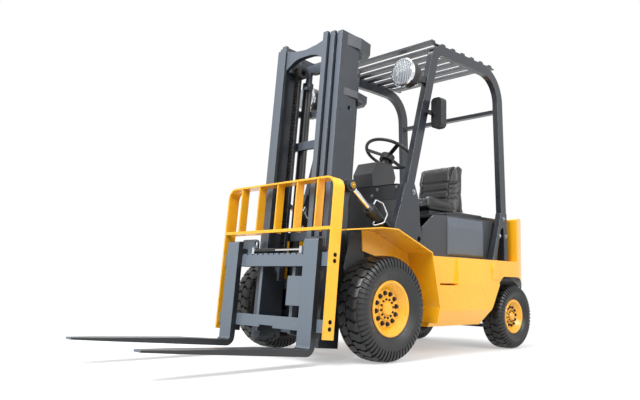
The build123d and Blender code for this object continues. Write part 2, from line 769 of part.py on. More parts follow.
def rail(front, span, web_y, foot):
    rear = front - RAIL_DEPTH
    shape = block(rear, rear + FLANGE_T, *span, foot, RAIL_TOP)
    shape += block(front - FLANGE_T, front, *span, foot, RAIL_TOP)
    return shape + block(rear, front, web_y - WEB_T / 2, web_y + WEB_T / 2, foot, RAIL_TOP)


def roller(x, y0, y1, z, hub_y):
    wheel = rod_y(roller_r, x, z, y0, y1)
    return wheel + rod_y(roller_r / 2, x, z, min(y0, hub_y), max(y1, hub_y))


def tie(z0, z1):
    """Bracket from the outer rail's web round to the bar behind the lift cylinders."""
    return both(plan_prism(TIE_WING, z0, z1)) + block(TIE_REAR, TIE_REAR + TIE_T, -TIE_HALF, TIE_HALF, z0, z1)


outer = rail(OUTER_FRONT, OUTER_Y, OUTER_Y[1] - WEB_T / 2, OUTER_FOOT)
outer -= rod_y(WEB_HOLE_R, *WEB_HOLE, OUTER_Y[0], OUTER_Y[1] + OVER)
outer += roller(middle_mid, middle_y + WEB_T / 2 + SIDE_GAP, MIDDLE_Y[1] + RUN_GAP, roller_top, outer_web)
hoop = rod_y(AXLE_TUBE_R + HOOP_WALL, 0, DRIVE_R, *OUTER_Y)
hoop += block(0, outer_rear, *OUTER_Y, DRIVE_R - HOOP_HALF, DRIVE_R + HOOP_HALF)
hoop -= rod_y(AXLE_TUBE_R + RUN_GAP, 0, DRIVE_R, *OUTER_Y)
tilt_seat = rod_y(TILT_BOSS_R, *TILT_EYE, outer_web, TILT_Y - TILT_EYE_HALF - FACE_GAP)
tilt_seat += rod_y(TILT_PIN_R, *TILT_EYE, OUTER_Y[1], TILT_Y + TILT_PIN_END)
tilt_seat += rod_y(TILT_CAP_R, *TILT_EYE, TILT_Y + TILT_CAP_Y[0], TILT_Y + TILT_CAP_Y[1])
shelf_z = BARREL_FOOT - FOOT_SHELF_T
shelf = block(FOOT_SHELF[0], outer_rear, FOOT_SHELF[1], OUTER_Y[1], shelf_z, BARREL_FOOT)
outer = both(outer + hoop + tilt_seat + shelf)
outer += tie(*TIE_TOP) + tie(*TIE_LOW)
outer += block(*FOOT_CROSS_X, -OUTER_Y[1], OUTER_Y[1], shelf_z - FOOT_CROSS_H, shelf_z)
save("mast_outer", leant(outer))

barrel = rod_z(BARREL_R, LIFT_X, LIFT_Y, BARREL_FOOT, BARREL_TOP)
barrel += rod_z(BARREL_R + GLAND_EXTRA, LIFT_X, LIFT_Y, BARREL_TOP - GLAND_H, BARREL_TOP)
barrel -= rod_z(LIFT_ROD_R + RUN_GAP, LIFT_X, LIFT_Y, ROD_FOOT - BORE_EXTRA, BARREL_TOP)
save("lift_barrels", leant(both(barrel)))
save("lift_rods", leant(both(rod_z(LIFT_ROD_R, LIFT_X, LIFT_Y, ROD_FOOT, ROD_TOP))))

cross_x = (middle_rear - MID_CROSS_GAP - MID_CROSS_T, middle_rear - MID_CROSS_GAP)
middle = rail(MIDDLE_FRONT, MIDDLE_Y, middle_y, MIDDLE_FOOT)
middle -= rod_y(HEAD_HOLE_R, middle_mid, HEAD_HOLE_Z, *MIDDLE_Y)
middle += roller(outer_mid, OUTER_Y[0] + FACE_GAP, outer_web - SIDE_GAP, MIDDLE_FOOT + ROLLER_RISE, middle_y)
upper_z = roller_top - 2 * roller_r
middle += roller(inner_mid, inner_y + WEB_T / 2 + SIDE_GAP, INNER_Y[1] + RUN_GAP, upper_z, middle_y)
middle += block(
    LIFT_X - ROD_HEAD[0], middle_rear, LIFT_Y - ROD_HEAD[1], MIDDLE_Y[1] - OVER, ROD_TOP, ROD_TOP + GLAND_H,
)
middle = both(middle)
for z in MID_CROSS_Z:
    middle += block(*cross_x, -MID_CROSS_HALF, MID_CROSS_HALF, z, z + CROSS_H)
    middle += both(block(cross_x[1], middle_rear, MIDDLE_Y[0], MID_CROSS_HALF, z, z + CROSS_H))
anchor_y = (CHAIN_Y - CHAIN_HALF, CHAIN_Y + CHAIN_HALF)
anchor = block(cross_x[1], cross_x[1] + MID_CROSS_T, *anchor_y, *CHAIN_ANCHOR_Z)
anchor += block(*cross_x, *anchor_y, CHAIN_ANCHOR_Z[0], MID_CROSS_Z[-1])
middle += both(anchor)
save("mast_middle", leant(middle))

head_x = (INNER_FRONT - HEAD_SET[0], INNER_FRONT - HEAD_SET[1])
head = [(inner_y, z) for z in HEAD_ROOT] + HEAD_ARCH
inner = rail(INNER_FRONT, INNER_Y, inner_y, INNER_FOOT)
inner -= rod_y(HEAD_HOLE_R, inner_mid, HEAD_HOLE_Z, *INNER_Y)
low_z = INNER_FOOT + ROLLER_RISE
inner += roller(middle_mid, MIDDLE_Y[0] + FACE_GAP, middle_y - WEB_T / 2 - SIDE_GAP, low_z, inner_y)
inner += front_prism(rounded(head, HEAD_ROUND), *head_x)
inner = both(inner)
for z in INNER_CROSS_Z:
    inner += block(inner_rear, inner_rear + INNER_CROSS_T, -inner_y, inner_y, z, z + CROSS_H)
sheave_x = CHAIN_X - SHEAVE_R
sheave_y = (CHAIN_Y - SHEAVE_HALF, CHAIN_Y + SHEAVE_HALF)
cheek = block(
    sheave_x - CHEEK_X[0], head_x[0] + CHEEK_X[1], sheave_y[1] + SHEAVE_GAP, INNER_Y[0],
    SHEAVE_Z + CHEEK_Z[0], SHEAVE_Z + CHEEK_Z[1],
)
cheek += rod_y(SHEAVE_PIN_R, sheave_x, SHEAVE_Z, sheave_y[0] - SHEAVE_GAP, sheave_y[1] + SHEAVE_GAP + OVER)
inner += both(cheek)
save("mast_inner", leant(inner))

sheave = rod_y(SHEAVE_R - SHEAVE_GROOVE, sheave_x, SHEAVE_Z, *sheave_y)
for y in (sheave_y[0], sheave_y[1] - SHEAVE_LIP):
    sheave += rod_y(SHEAVE_R + SHEAVE_LIP, sheave_x, SHEAVE_Z, y, y + SHEAVE_LIP)
sheave -= rod_y(SHEAVE_PIN_R + RUN_GAP, sheave_x, SHEAVE_Z, *sheave_y)
save("chain_sheaves", leant(both(sheave)))

# Leaf chain: packs of plates on pins, down to the carriage's anchor
core = (CHAIN_X - CHAIN_T / 3, CHAIN_X + CHAIN_T / 3, CHAIN_Y - CHAIN_HALF / 2, CHAIN_Y + CHAIN_HALF / 2)
pack = (CHAIN_X - CHAIN_T / 2, CHAIN_X + CHAIN_T / 2, *anchor_y)
chain = block(*core, CHAIN_FOOT, SHEAVE_Z)
for i in range(int((SHEAVE_Z - SHEAVE_R - CHAIN_FOOT) / CHAIN_PITCH)):
    z = CHAIN_FOOT + CHAIN_PITCH * (i + 0.5)
    chain += block(*pack, z - CHAIN_PITCH * CHAIN_LINK / 2, z + CHAIN_PITCH * CHAIN_LINK / 2)
save("lift_chains", leant(both(chain)))

# Carriage: two fork bars on roller plates between the inner rails
plate_rear = inner_mid - SIDE_PLATE_REACH
plate_top = CHAIN_FOOT - SIDE_PLATE_STEP[2]
plate_side = [
    (plate_rear, SIDE_PLATE_FOOT[0]), (BAR_X[0], SIDE_PLATE_FOOT[1]), (BAR_X[0], UPPER_BAR_Z[1]),
    (CHAIN_X + SIDE_PLATE_STEP[0], CHAIN_FOOT), (CHAIN_X + SIDE_PLATE_STEP[1], plate_top),
    (plate_rear, plate_top),
]
carriage = side_prism(rounded(plate_side, SIDE_PLATE_ROUND), *SIDE_PLATE_Y)
roller_y = (INNER_Y[0] + FACE_GAP, inner_y - WEB_T / 2 - SIDE_GAP)
for z in CARRIAGE_ROLLERS:
    carriage += roller(inner_mid, *roller_y, z, SIDE_PLATE_Y[0] + ROLLER_LAP)
carriage += block(
    CHAIN_X - ANCHOR_HALF, CHAIN_X + ANCHOR_HALF, CHAIN_Y - ANCHOR_HALF, SIDE_PLATE_Y[1],
    CHAIN_FOOT - ANCHOR_H, CHAIN_FOOT - SEAT_GAP,
)
lug_x = (BAR_X[0] - LUG_T, BAR_X[0])
lug_top = UPPER_BAR_Z[1] + LUG_BASE_Z[1]
carriage += block(*lug_x, LUG_BASE_Y[0], BAR_HALF - LUG_BASE_Y[1], UPPER_BAR_Z[1] - LUG_BASE_Z[0], lug_top)
lug_z = (lug_top - OVER, lug_top + LUG_H)
lug_side = [(LUG_Y[0], lug_z[0]), (LUG_Y[1], lug_z[0]), (LUG_Y[1], lug_z[1]), (LUG_Y[0], lug_z[1])]
lug = front_prism(rounded(lug_side, {2: LUG_R, 3: LUG_R}), *lug_x)
lug -= rod_x(LUG_HOLE_R, LUG_HOLE[0], lug_top + LUG_HOLE[1], lug_x[0] - OVER, lug_x[1] + OVER)
carriage = both(carriage + lug)
for bar_z in (UPPER_BAR_Z, LOWER_BAR_Z):
    carriage += block(*BAR_X, -BAR_HALF, BAR_HALF, *bar_z)
carriage += block(*BAR_X, SIDE_PLATE_Y[0] + FACE_PLATE_LAP, fork_y - FORK_W / 2, *FACE_PLATE_Z)
carriage -= block(BAR_X[0] - OVER, BAR_X[1] + OVER, *GATE_Y, LOWER_BAR_Z[0] - OVER, LOWER_BAR_Z[0] + GATE_H)
notch_x = (BAR_X[0] + NOTCH_BACK, BAR_X[1] + OVER)
notch_z = (UPPER_BAR_Z[1] - NOTCH_H, UPPER_BAR_Z[1] + OVER)
for i in range(BAR_NOTCHES):
    y = NOTCH_PITCH * (i - (BAR_NOTCHES - 1) / 2)
    carriage -= block(*notch_x, y - NOTCH_W / 2, y + NOTCH_W / 2, *notch_z)
save("carriage_frame", leant(carriage))

shift = (BAR_X[0] + SHIFT_SET[0], UPPER_BAR_Z[1] + SHIFT_SET[1])
rod = rod_y(SHIFT_ROD_R, *shift, -SHIFT_Y, SHIFT_Y) + rod_y(SHIFT_BARREL_R, *shift, -SHIFT_Y, SHIFT_SPLIT)
rod += both(block(
    BAR_X[0], BAR_X[0] + SHIFT_LUG[0], SHIFT_Y, SHIFT_Y + SHIFT_LUG[1],
    UPPER_BAR_Z[1], UPPER_BAR_Z[1] + SHIFT_LUG[2],
))
save("shift_rod", leant(rod))

# Load backrest: bent flat bar with a grille of bars on edge
hoop_half = BAR_HALF + BACKREST_T
outline = Rectangle(2 * hoop_half, 2 * (BACKREST_TOP - BACKREST_FOOT))
hoop_out = fillet(outline.vertices(), BACKREST_R)
hoop_in = offset(hoop_out, amount=-BACKREST_T, kind=Kind.TANGENT)
hoop_face = hoop_out - hoop_in
hoop_face -= Pos(0, -BACKREST_TOP) * Rectangle(4 * hoop_half, 2 * BACKREST_TOP)
backrest = extrude(Plane.YZ * hoop_face, amount=BACKREST_X[1] - BACKREST_X[0])
backrest = Pos(BACKREST_X[0], 0, BACKREST_FOOT) * backrest
backrest += block(
    BACKREST_X[1] - GRILLE_RAIL[0], BACKREST_X[1], -BAR_HALF, BAR_HALF, GRILLE_Z, GRILLE_Z + GRILLE_RAIL[1],
)
step = 2 * BAR_HALF / (GRILLE_BARS + GRILLE_MARGIN)
for i in range(GRILLE_BARS):
    y = (i - (GRILLE_BARS - 1) / 2) * step
    backrest += block(
        BACKREST_X[1] - GRILLE_BAR_DEPTH, BACKREST_X[1] - SIDE_GAP,
        y - GRILLE_BAR_T / 2, y + GRILLE_BAR_T / 2, GRILLE_Z, BACKREST_TOP - BACKREST_T / 2,
    )
save("load_backrest", leant(backrest))

# Forks: forged arm with a round heel, hooked over both bars, tapered to the tip
shank = (BAR_X[1], BAR_X[1] + FORK_T)
tip = shank[1] + FORK_LENGTH
arm_side = [
    (shank[0], FORK_TOP), (shank[0], FORK_FLOOR), (tip, FORK_FLOOR), (tip, FORK_FLOOR + FORK_TIP_T),
    (tip - FORK_WEDGE, FORK_FLOOR + FORK_T), (shank[1], FORK_FLOOR + FORK_T), (shank[1], FORK_TOP),
]
arm_round = {0: FORK_TOP_R[0], 1: FORK_HEEL_R, 5: FORK_HEEL_R - FORK_T, 6: FORK_TOP_R[1]}
arm = side_prism(rounded(arm_side, arm_round), -FORK_W / 2, FORK_W / 2)
taper = [(tip - FORK_TAPER, FORK_W), (tip - FORK_TAPER, FORK_W / 2), (tip, FORK_TIP_HALF), (tip, FORK_W)]
arm -= both(plan_prism(taper, 0, FORK_FLOOR + 2 * FORK_T))
for z in (UPPER_BAR_Z[1], LOWER_BAR_Z[0] - FORK_HOOK):
    arm += block(BAR_X[0] + HOOK_BACK, shank[0], -FORK_W / 2, FORK_W / 2, z, z + FORK_HOOK)
save("fork_left", leant(Pos(0, fork_y, 0) * arm))
save("fork_right", leant(Pos(0, -fork_y, 0) * arm))

# Tilt cylinders: rod eye at the mast, barrel on the frame's ears
eye = leant_point(*TILT_EYE)
lean = math.radians(TILT_ANGLE)
tilt_pivot = (eye[0] - TILT_LENGTH * math.cos(lean), eye[1] - TILT_LENGTH * math.sin(lean))
along = Pos(tilt_pivot[0], TILT_Y, tilt_pivot[1]) * Rot(0, -TILT_ANGLE, 0)
barrel_end = TILT_BARREL_X[1]
gland_r = TILT_BARREL_R + TILT_GLAND[0]
tongue = TILT_TONGUE
tilt_barrel = rod_x(TILT_BARREL_R, 0, 0, *TILT_BARREL_X)
tilt_barrel += rod_x(gland_r, 0, 0, barrel_end - TILT_GLAND[1], barrel_end)
tilt_barrel += rod_y(TILT_LUG_R, 0, 0, -TILT_LUG_HALF, TILT_LUG_HALF)
tilt_barrel += block(0, tongue[0], -tongue[1], tongue[1], -tongue[2], tongue[2])
tilt_barrel -= rod_x(TILT_ROD_R + RUN_GAP, 0, 0, TILT_BORE, barrel_end)
tilt_barrel -= rod_y(TILT_PIN_R + RUN_GAP, 0, 0, -TILT_LUG_HALF, TILT_LUG_HALF)
save("tilt_barrels", both(along * tilt_barrel))
tilt_rod = rod_x(TILT_ROD_R, 0, 0, TILT_ROD_X[0], TILT_LENGTH - TILT_ROD_X[1])
tilt_rod += rod_y(TILT_EYE_R, TILT_LENGTH, 0, -TILT_EYE_HALF, TILT_EYE_HALF)
tilt_rod -= rod_y(TILT_PIN_R + EYE_GAP, TILT_LENGTH, 0, -TILT_EYE_HALF, TILT_EYE_HALF)
save("tilt_rods", both(along * tilt_rod))

# Steel pipe that loops from the gland over the barrel's outer side
route = [(barrel_end + x, y, z) for x, y, z in PIPE_ROUTE]
first = (route[0][0], 0, gland_r + SEAT_GAP)
last = (route[-1][0], 0, -TILT_BARREL_R - SEAT_GAP)
save("tilt_pipes", both(along * pipe([first] + route + [last], PIPE_R, PIPE_BEND)))

# Chassis: side tanks, longitudinal plates, tilt ears and the keel under the weight
arch_front = from_steer(ARCH_FRONT)
tank = front_prism([
    (TANK_IN, SIDE_TOP), (SIDE_Y - SIDE_LEAN[0], SIDE_TOP), (SIDE_Y, SIDE_CREASE[0]),
    (SIDE_Y - SIDE_LEAN[1], SIDE_CREASE[1]), (SIDE_Y - SIDE_TUCK, SIDE_BOTTOM), (TANK_IN, SIDE_BOTTOM),
], weight_front, TANK_FRONT)
cut_y = (TANK_IN - OVER, SIDE_Y + OVER)
below = [b + (b - a) * FENDER_RUN_ON for a, b in zip(FENDER[4], FENDER[5])]
front_cut = shifted([FENDER[3], FENDER[4], below], SEAT_GAP)
front_cut += [(TANK_CUT, below[1]), (TANK_CUT, FENDER[3][1])]
tank -= side_prism(front_cut, *cut_y)
tank -= side_prism(arch_front + from_steer([(0, ARCH_TOP), (0, SIDE_BOTTOM - OVER)]), *cut_y)
step_low = (STEP_X[0] - STEP_SLANT[0], STEP_X[1] + STEP_SLANT[1])
step_side = [
    (STEP_X[0], SIDE_TOP + OVER), (step_low[0], STEP_Z), (step_low[1], STEP_Z), (STEP_X[1], SIDE_TOP + OVER),
]
tank -= side_prism(rounded(step_side, {1: STEP_R, 2: STEP_R}), SIDE_Y - STEP_DEPTH, cut_y[1])
slot_x = (STEP_X[1] + SLOT_INSET[0], step_low[0] - SLOT_INSET[1])
tank -= block(*slot_x, SIDE_Y - SLOT_DEPTH, cut_y[1], STEP_Z - SLOT_H, STEP_Z + OVER)
cover_x = steer_x + COVER_X
cover_y = (SIDE_Y - COVER_Y[0], SIDE_Y + COVER_Y[1])
tank += block(cover_x - COVER_R, cover_x + COVER_R, *cover_y, *COVER_Z)
tank += rod_y(COVER_R, cover_x, COVER_Z[1], *cover_y)
cross_rear = steer_x + CROSS_REACH
frame = tank + block(cross_rear, PLATE_FRONT, *PLATE_Y, *PLATE_Z)
frame += block(cross_rear, RIB_FRONT, PLATE_Y[1], TANK_IN, *PLATE_Z)
frame -= rod_y(AXLE_TUBE_R + RUN_GAP, 0, DRIVE_R, PLATE_Y[0] - OVER, PLATE_Y[1] + OVER)
ear_x = (tilt_pivot[0] - EAR_FOOT[0], tilt_pivot[0] + EAR_FOOT[1])
ear_top = tilt_pivot[1] + EAR_HEAD[1]
ear_side = [
    (ear_x[0], PLATE_Z[1] - EAR_ROOT), (ear_x[1], PLATE_Z[1] - EAR_ROOT),
    (tilt_pivot[0] + EAR_HEAD[0], ear_top), (tilt_pivot[0] - EAR_HEAD[0], ear_top),
]
ear_y = (TILT_Y - EAR_SIDE - EAR_T[0], TILT_Y + EAR_SIDE - FACE_GAP + EAR_T[1])
for y0, y1 in ((ear_y[0], ear_y[0] + EAR_T[0]), (ear_y[1] - EAR_T[1], ear_y[1])):
    frame += side_prism(rounded(ear_side, {2: EAR_R, 3: EAR_R}), y0, y1)
frame += block(*ear_x, *ear_y, PLATE_Z[1] - EAR_ROOT, PLATE_Z[1])
frame += rod_y(TILT_PIN_R, *tilt_pivot, *ear_y)
frame = both(frame)
frame += block(cross_rear, cross_rear + CROSS_T, -PLATE_Y[0], PLATE_Y[0], PLATE_Z[0], SIDE_TOP)
frame += block(*FLOOR_CROSS_X, -PLATE_Y[0], PLATE_Y[0], FLOOR_CROSS_Z, SIDE_TOP)
frame += block(cross_rear, FLOOR_CROSS_X[0], -PLATE_Y[0], PLATE_Y[0], PLATE_Z[0], PLATE_Z[0] + BELLY_T)
frame += block(steer_x - KEEL_TAIL, cross_rear, -KEEL_HALF, KEEL_HALF, ARCH_TOP - KEEL_H, ARCH_TOP)
save("chassis_frame", frame)

fender = folded(FENDER, FENDER_T, *FENDER_Y)
fender += side_prism(rounded(FENDER_WALL, FENDER_WALL_ROUND), FENDER_Y[0] - FENDER_T, FENDER_Y[0])
fender -= plan_prism(FENDER_NOSE, *FENDER_NOSE_Z)
save("fenders", both(fender))

# Counterweight: casting with round rear corners and a tunnel over the steered wheels
plan = [
    (weight_front, WEIGHT_HALF), (weight_front, -WEIGHT_HALF), (rear_x, -WEIGHT_HALF),
    (rear_x, WEIGHT_HALF),
]
weight = plan_prism(rounded(plan, {2: WEIGHT_PLAN_R, 3: WEIGHT_PLAN_R}), WEIGHT_BOTTOM, WEIGHT_TOP)
rise_x = steer_x - WEIGHT_RISE
weight -= block(rise_x, weight_front + OVER, -WEIGHT_HALF, WEIGHT_HALF, SIDE_TOP, WEIGHT_TOP + OVER)
crown = rounded(
    [(rise_x, 0), (rise_x, WEIGHT_TOP), (rear_x, WEIGHT_TOP), (rear_x, 0)],
    {1: WEIGHT_FRONT_R, 2: WEIGHT_TOP_R},
)
low = block(rear_x, weight_front, -WEIGHT_HALF, WEIGHT_HALF, 0, SIDE_TOP)
weight &= low + side_prism(crown, -WEIGHT_HALF, WEIGHT_HALF)
arch_side = arch_front + from_steer(ARCH_REAR + [(ARCH_FRONT[0][0], 0)])
weight -= side_prism(rounded(arch_side, ARCH_ROUND), -WEIGHT_HALF, WEIGHT_HALF)
weight -= side_prism(rounded(from_steer(TUNNEL), TUNNEL_ROUND), -ARCH_IN_Y, ARCH_IN_Y)
weight -= block(rear_x - OVER, rear_x + GRILLE_DEPTH, -GRILLE_HALF, GRILLE_HALF, *GRILLE_TALL)
weight -= block(rear_x - OVER, rear_x + TOW_DEPTH, -TOW_HALF, TOW_HALF, *TOW_Z)
weight -= rod_z(TOW_R, rear_x + TOW_INSET, 0, WEIGHT_BOTTOM, TOW_TOP)
save("counterweight", weight)

grille_back = rear_x + GRILLE_DEPTH
louvre_x = (grille_back - GRILLE_BACK_T, grille_back - LOUVRE_T)
louvres = block(louvre_x[0], grille_back, -GRILLE_HALF, GRILLE_HALF, *GRILLE_TALL)
row = (GRILLE_TALL[1] - GRILLE_TALL[0]) / GRILLE_ROWS
for i in range(GRILLE_ROWS):
    z = GRILLE_TALL[0] + row * (i + 0.5)
    blade = [
        (louvre_x[0], z + LOUVRE_T / 2), (louvre_x[0], z - LOUVRE_T / 2), (louvre_x[1], z - LOUVRE_T),
        (louvre_x[1], z - LOUVRE_T / 4),
    ]
    louvres += side_prism(blade, -GRILLE_HALF, GRILLE_HALF)
save("radiator_grille", louvres)

engine = block(
    steer_x + ENGINE_X[0], ENGINE_X[1], -ENGINE_HALF, ENGINE_HALF, PLATE_Z[0] + BELLY_T, ENGINE_TOP,
)
engine += block(
    steer_x + HEAD_COVER_X[0], HEAD_COVER_X[1], -HEAD_COVER_HALF, HEAD_COVER_HALF, ENGINE_TOP, HEAD_COVER_TOP,
)
engine += rod_x(CLUTCH_R, 0, CLUTCH_Z, *CLUTCH_X)
save("engine_block", engine)

# Operator's place: floor, bulkhead with the dash and the well's walls
save("floor_plate", block(*FLOOR_X, -FLOOR_HALF, FLOOR_HALF, SIDE_TOP, FLOOR_Z))
bulkhead = side_prism(BULKHEAD_SIDE, -BULKHEAD_HALF, BULKHEAD_HALF)
bulkhead -= both(block(*BULKHEAD_CUT_X, FLOOR_HALF, BULKHEAD_HALF + OVER, *BULKHEAD_CUT_Z))
dash_low = DASH_Z - DASH_T
dash_side = [(DASH_X[0], dash_low), (DASH_X[1], DASH_Z), (DASH_X[2], DASH_Z), (DASH_X[2], dash_low)]
bulkhead += side_prism(dash_side, -DASH_HALF, DASH_HALF)
well = [(WELL_FRONT[0], FLOOR_Z), (WELL_FRONT[1], dash_low), (DASH_X[2], dash_low)]
well += WELL_REAR + [(WELL_REAR[1][0], FLOOR_Z)]
bulkhead += both(side_prism(rounded(well, {3: WELL_R, 4: WELL_R}), FLOOR_HALF - WALL_T, FLOOR_HALF))
save("bulkhead", bulkhead)

# Hood: shell with a hole under the lid and half of the lid's hinge barrels
hood_rear = steer_x + HOOD_REAR
hood_side = [(HOOD_FRONT, SIDE_TOP)] + HOOD_NOSE
hood_side += [(HOOD_CROWN, DECK_Z), (hood_rear, DECK_Z), (hood_rear, SIDE_TOP)]
hood = side_prism(rounded(hood_side, HOOD_ROUND), -HOOD_HALF, HOOD_HALF)
roof_line = shifted(hood_side[:5], HOOD_T)
cavity = [(roof_line[0][0], SIDE_TOP - OVER)] + roof_line[1:4]
cavity += [(hood_rear + HOOD_T, DECK_Z - HOOD_T), (hood_rear + HOOD_T, SIDE_TOP - OVER)]
hood -= side_prism(cavity, HOOD_T - HOOD_HALF, HOOD_HALF - HOOD_T)
lid_rear = steer_x + LID_REAR
lid_front = lid_rear + LID_LENGTH
hole_x = (lid_rear + DECK_HOLE_X, lid_rear + DECK_HOLE_X + DECK_HOLE[0])
hood -= block(*hole_x, -DECK_HOLE[1], DECK_HOLE[1], DECK_Z - HOOD_T - OVER, DECK_Z + OVER)
room = HINGE_R + HINGE_ROOM
notch_y = (HINGE_Y[0] - SIDE_GAP, HINGE_Y[2])
hood -= both(block(lid_rear - room, lid_rear + room, *notch_y, DECK_Z - room, DECK_Z + OVER))
hood += both(rod_y(HINGE_R, lid_rear, DECK_Z, HINGE_Y[1] + SIDE_GAP, HINGE_Y[2]))
save("hood", hood)

panel_x = (steer_x + PANEL_X[1], PANEL_X[0])
panel_y = (HOOD_HALF, HOOD_HALF + PANEL_T)
panel = front_prism([
    (panel_y[0], PANEL_Z[0]), (panel_y[1], PANEL_Z[0] + PANEL_T), (panel_y[1], PANEL_Z[1]),
    (panel_y[0], PANEL_Z[2]),
], *panel_x)
bevel_y = HOOD_HALF + PANEL_BEVEL
for x, way in ((panel_x[0] - OVER, 1), (panel_x[1] + OVER, -1)):
    panel -= plan_prism([(x, HOOD_HALF), (x, bevel_y), (x + way * PANEL_BEVEL, bevel_y)], 0, WEIGHT_TOP)
save("hood_panels", both(panel))

# Console, steering column and wheel
console_side = [(CONSOLE_FOOT[0], DASH_Z)] + CONSOLE_SIDE + [(CONSOLE_FOOT[1], DASH_Z)]
console = side_prism(rounded(console_side, CONSOLE_ROUND), -CONSOLE_HALF, CONSOLE_HALF)
for i in range(RIBS):
    x = RIB_X - RIB_PITCH * i
    console -= block(x - RIB_W / 2, x + RIB_W / 2, -CONSOLE_HALF - OVER, CONSOLE_HALF + OVER, *RIB_Z)
console += block(*CONSOLE_BASE_X, -CONSOLE_BASE_HALF, CONSOLE_BASE_HALF, DASH_Z, DASH_Z + CONSOLE_BASE_H)
shelf_x = (LEVER_X + LEVER_SHELF[0], LEVER_X + LEVER_SHELF[1])
shelf_y = (LEVER_Y - LEVERS * LEVER_PITCH, OVER - CONSOLE_HALF)
console += block(*shelf_x, *shelf_y, SHELF_Z - LEVER_SHELF[2], SHELF_Z)
top = Pos(*WHEEL_CENTRE) * Rot(0, -COLUMN_LEAN, 0)
console -= top * rod_z(COLUMN_R + RUN_GAP, 0, 0, COLUMN_FOOT, 0)
save("console", console)
column = rod_z(COLUMN_R, 0, 0, COLUMN_FOOT, COLUMN_NECK)
neck = Cone(COLUMN_R, COLUMN_R - COLUMN_TAPER, COLUMN_TOP - COLUMN_NECK)
column += Pos(0, 0, (COLUMN_NECK + COLUMN_TOP) / 2) * neck
save("steering_column", top * column)
wheel = Rot(90, 0, 0) * revolve(Pos(WHEEL_R, 0) * Circle(WHEEL_TUBE_R), axis=Axis.Y)
wheel += rod_z(WHEEL_HUB_R, 0, 0, COLUMN_TOP + RUN_GAP, WHEEL_HUB_TOP)
for angle in SPOKE_ANGLES:
    spoke = Pos(WHEEL_R / 2, 0, -SPOKE_DROP) * Rot(0, -SPOKE_LEAN, 0) * Box(WHEEL_R, *SPOKE)
    wheel += Rot(0, 0, angle) * spoke
save("steering_wheel", top * wheel)

levers = []
for i in range(LEVERS):
    y = LEVER_Y - LEVER_PITCH * i
    levers.append(rod_z(LEVER_BOOT[0], LEVER_X, y, SHELF_Z, SHELF_Z + LEVER_BOOT[1]))
    levers.append(rod_z(LEVER_ROD[0], LEVER_X, y, SHELF_Z, SHELF_Z + LEVER_ROD[1]))
    levers.append(rod_z(LEVER_KNOB[0], LEVER_X, y, SHELF_Z + LEVER_KNOB[1], SHELF_Z + LEVER_KNOB[2]))
save("levers", total(levers))
pedal_arm = [(x, FLOOR_Z) for x in PEDAL_FOOT] + PEDAL_ARM
pedals = []
for y, width in PEDALS:
    pedals.append(side_prism(PEDAL_PAD, y - width / 2, y + width / 2))
    pedals.append(side_prism(pedal_arm, y - PEDAL_ARM_HALF, y + PEDAL_ARM_HALF))
save("pedals", total(pedals))

# Lid on rear hinge barrels, with grab rails and the seat
lid_top = DECK_Z + LID_T
lid_side = [
    (lid_front, DECK_Z), (lid_front, DECK_Z + LID_NOSE[0]), (lid_front - LID_NOSE[1], lid_top),
    (lid_rear, lid_top), (lid_rear, DECK_Z),
]
lid = side_prism(rounded(lid_side, {2: LID_NOSE_R}), -LID_HALF, LID_HALF)
notch_y = (HINGE_Y[1] + FACE_GAP, HINGE_Y[2] + OVER)
lid -= both(block(lid_rear - OVER, lid_rear + room, *notch_y, DECK_Z - OVER, DECK_Z + room))
lid += both(rod_y(HINGE_R, lid_rear, DECK_Z, *HINGE_Y[:2]))
grab_x = (lid_rear + GRAB_X[0], lid_rear + GRAB_X[1])
grab_z = lid_top + GRAB_RISE
for x in (grab_x[0] + GRAB_INSET, grab_x[1] - GRAB_INSET):
    lid += both(rod_z(GRAB_POST_R, x, GRAB_Y, lid_top - GRAB_INSET, grab_z))
lid += both(rod_x(GRAB_R, GRAB_Y, grab_z, *grab_x))
save("seat_lid", lid)

hip_x = steer_x + SEAT_SPLIT
pan_top = lid_top + SEAT_RISE
save("seat_pan", block(
    hip_x + SEAT_PAN_X[0], hip_x + SEAT_PAN_X[1], -SEAT_PAN_HALF, SEAT_PAN_HALF, lid_top, pan_top,
))


def seat_face(points, corners, base):
    return rounded([(hip_x + x, base + z) for x, z in points], corners)


def side_pad(face):
    """Upholstered side piece with its two side rims rounded."""
    body = side_prism(face, SEAT_PAD_HALF, SEAT_HALF)
    rims = body.faces().sort_by(Axis.Y)
    return fillet(rims[0].edges() + rims[-1].edges(), SEAT_EDGE_R)


cushion = side_prism(seat_face(CUSHION_SIDE, CUSHION_ROUND, pan_top), -SEAT_PAD_HALF, SEAT_PAD_HALF)
save("seat_cushion", cushion + both(side_pad(seat_face(BOLSTER_SIDE, BOLSTER_ROUND, pan_top))))
back = side_prism(seat_face(BACK_SIDE, BACK_ROUND, lid_top), -SEAT_PAD_HALF, SEAT_PAD_HALF)
save("seat_back", back + both(side_pad(seat_face(WING_SIDE, WING_ROUND, lid_top))))

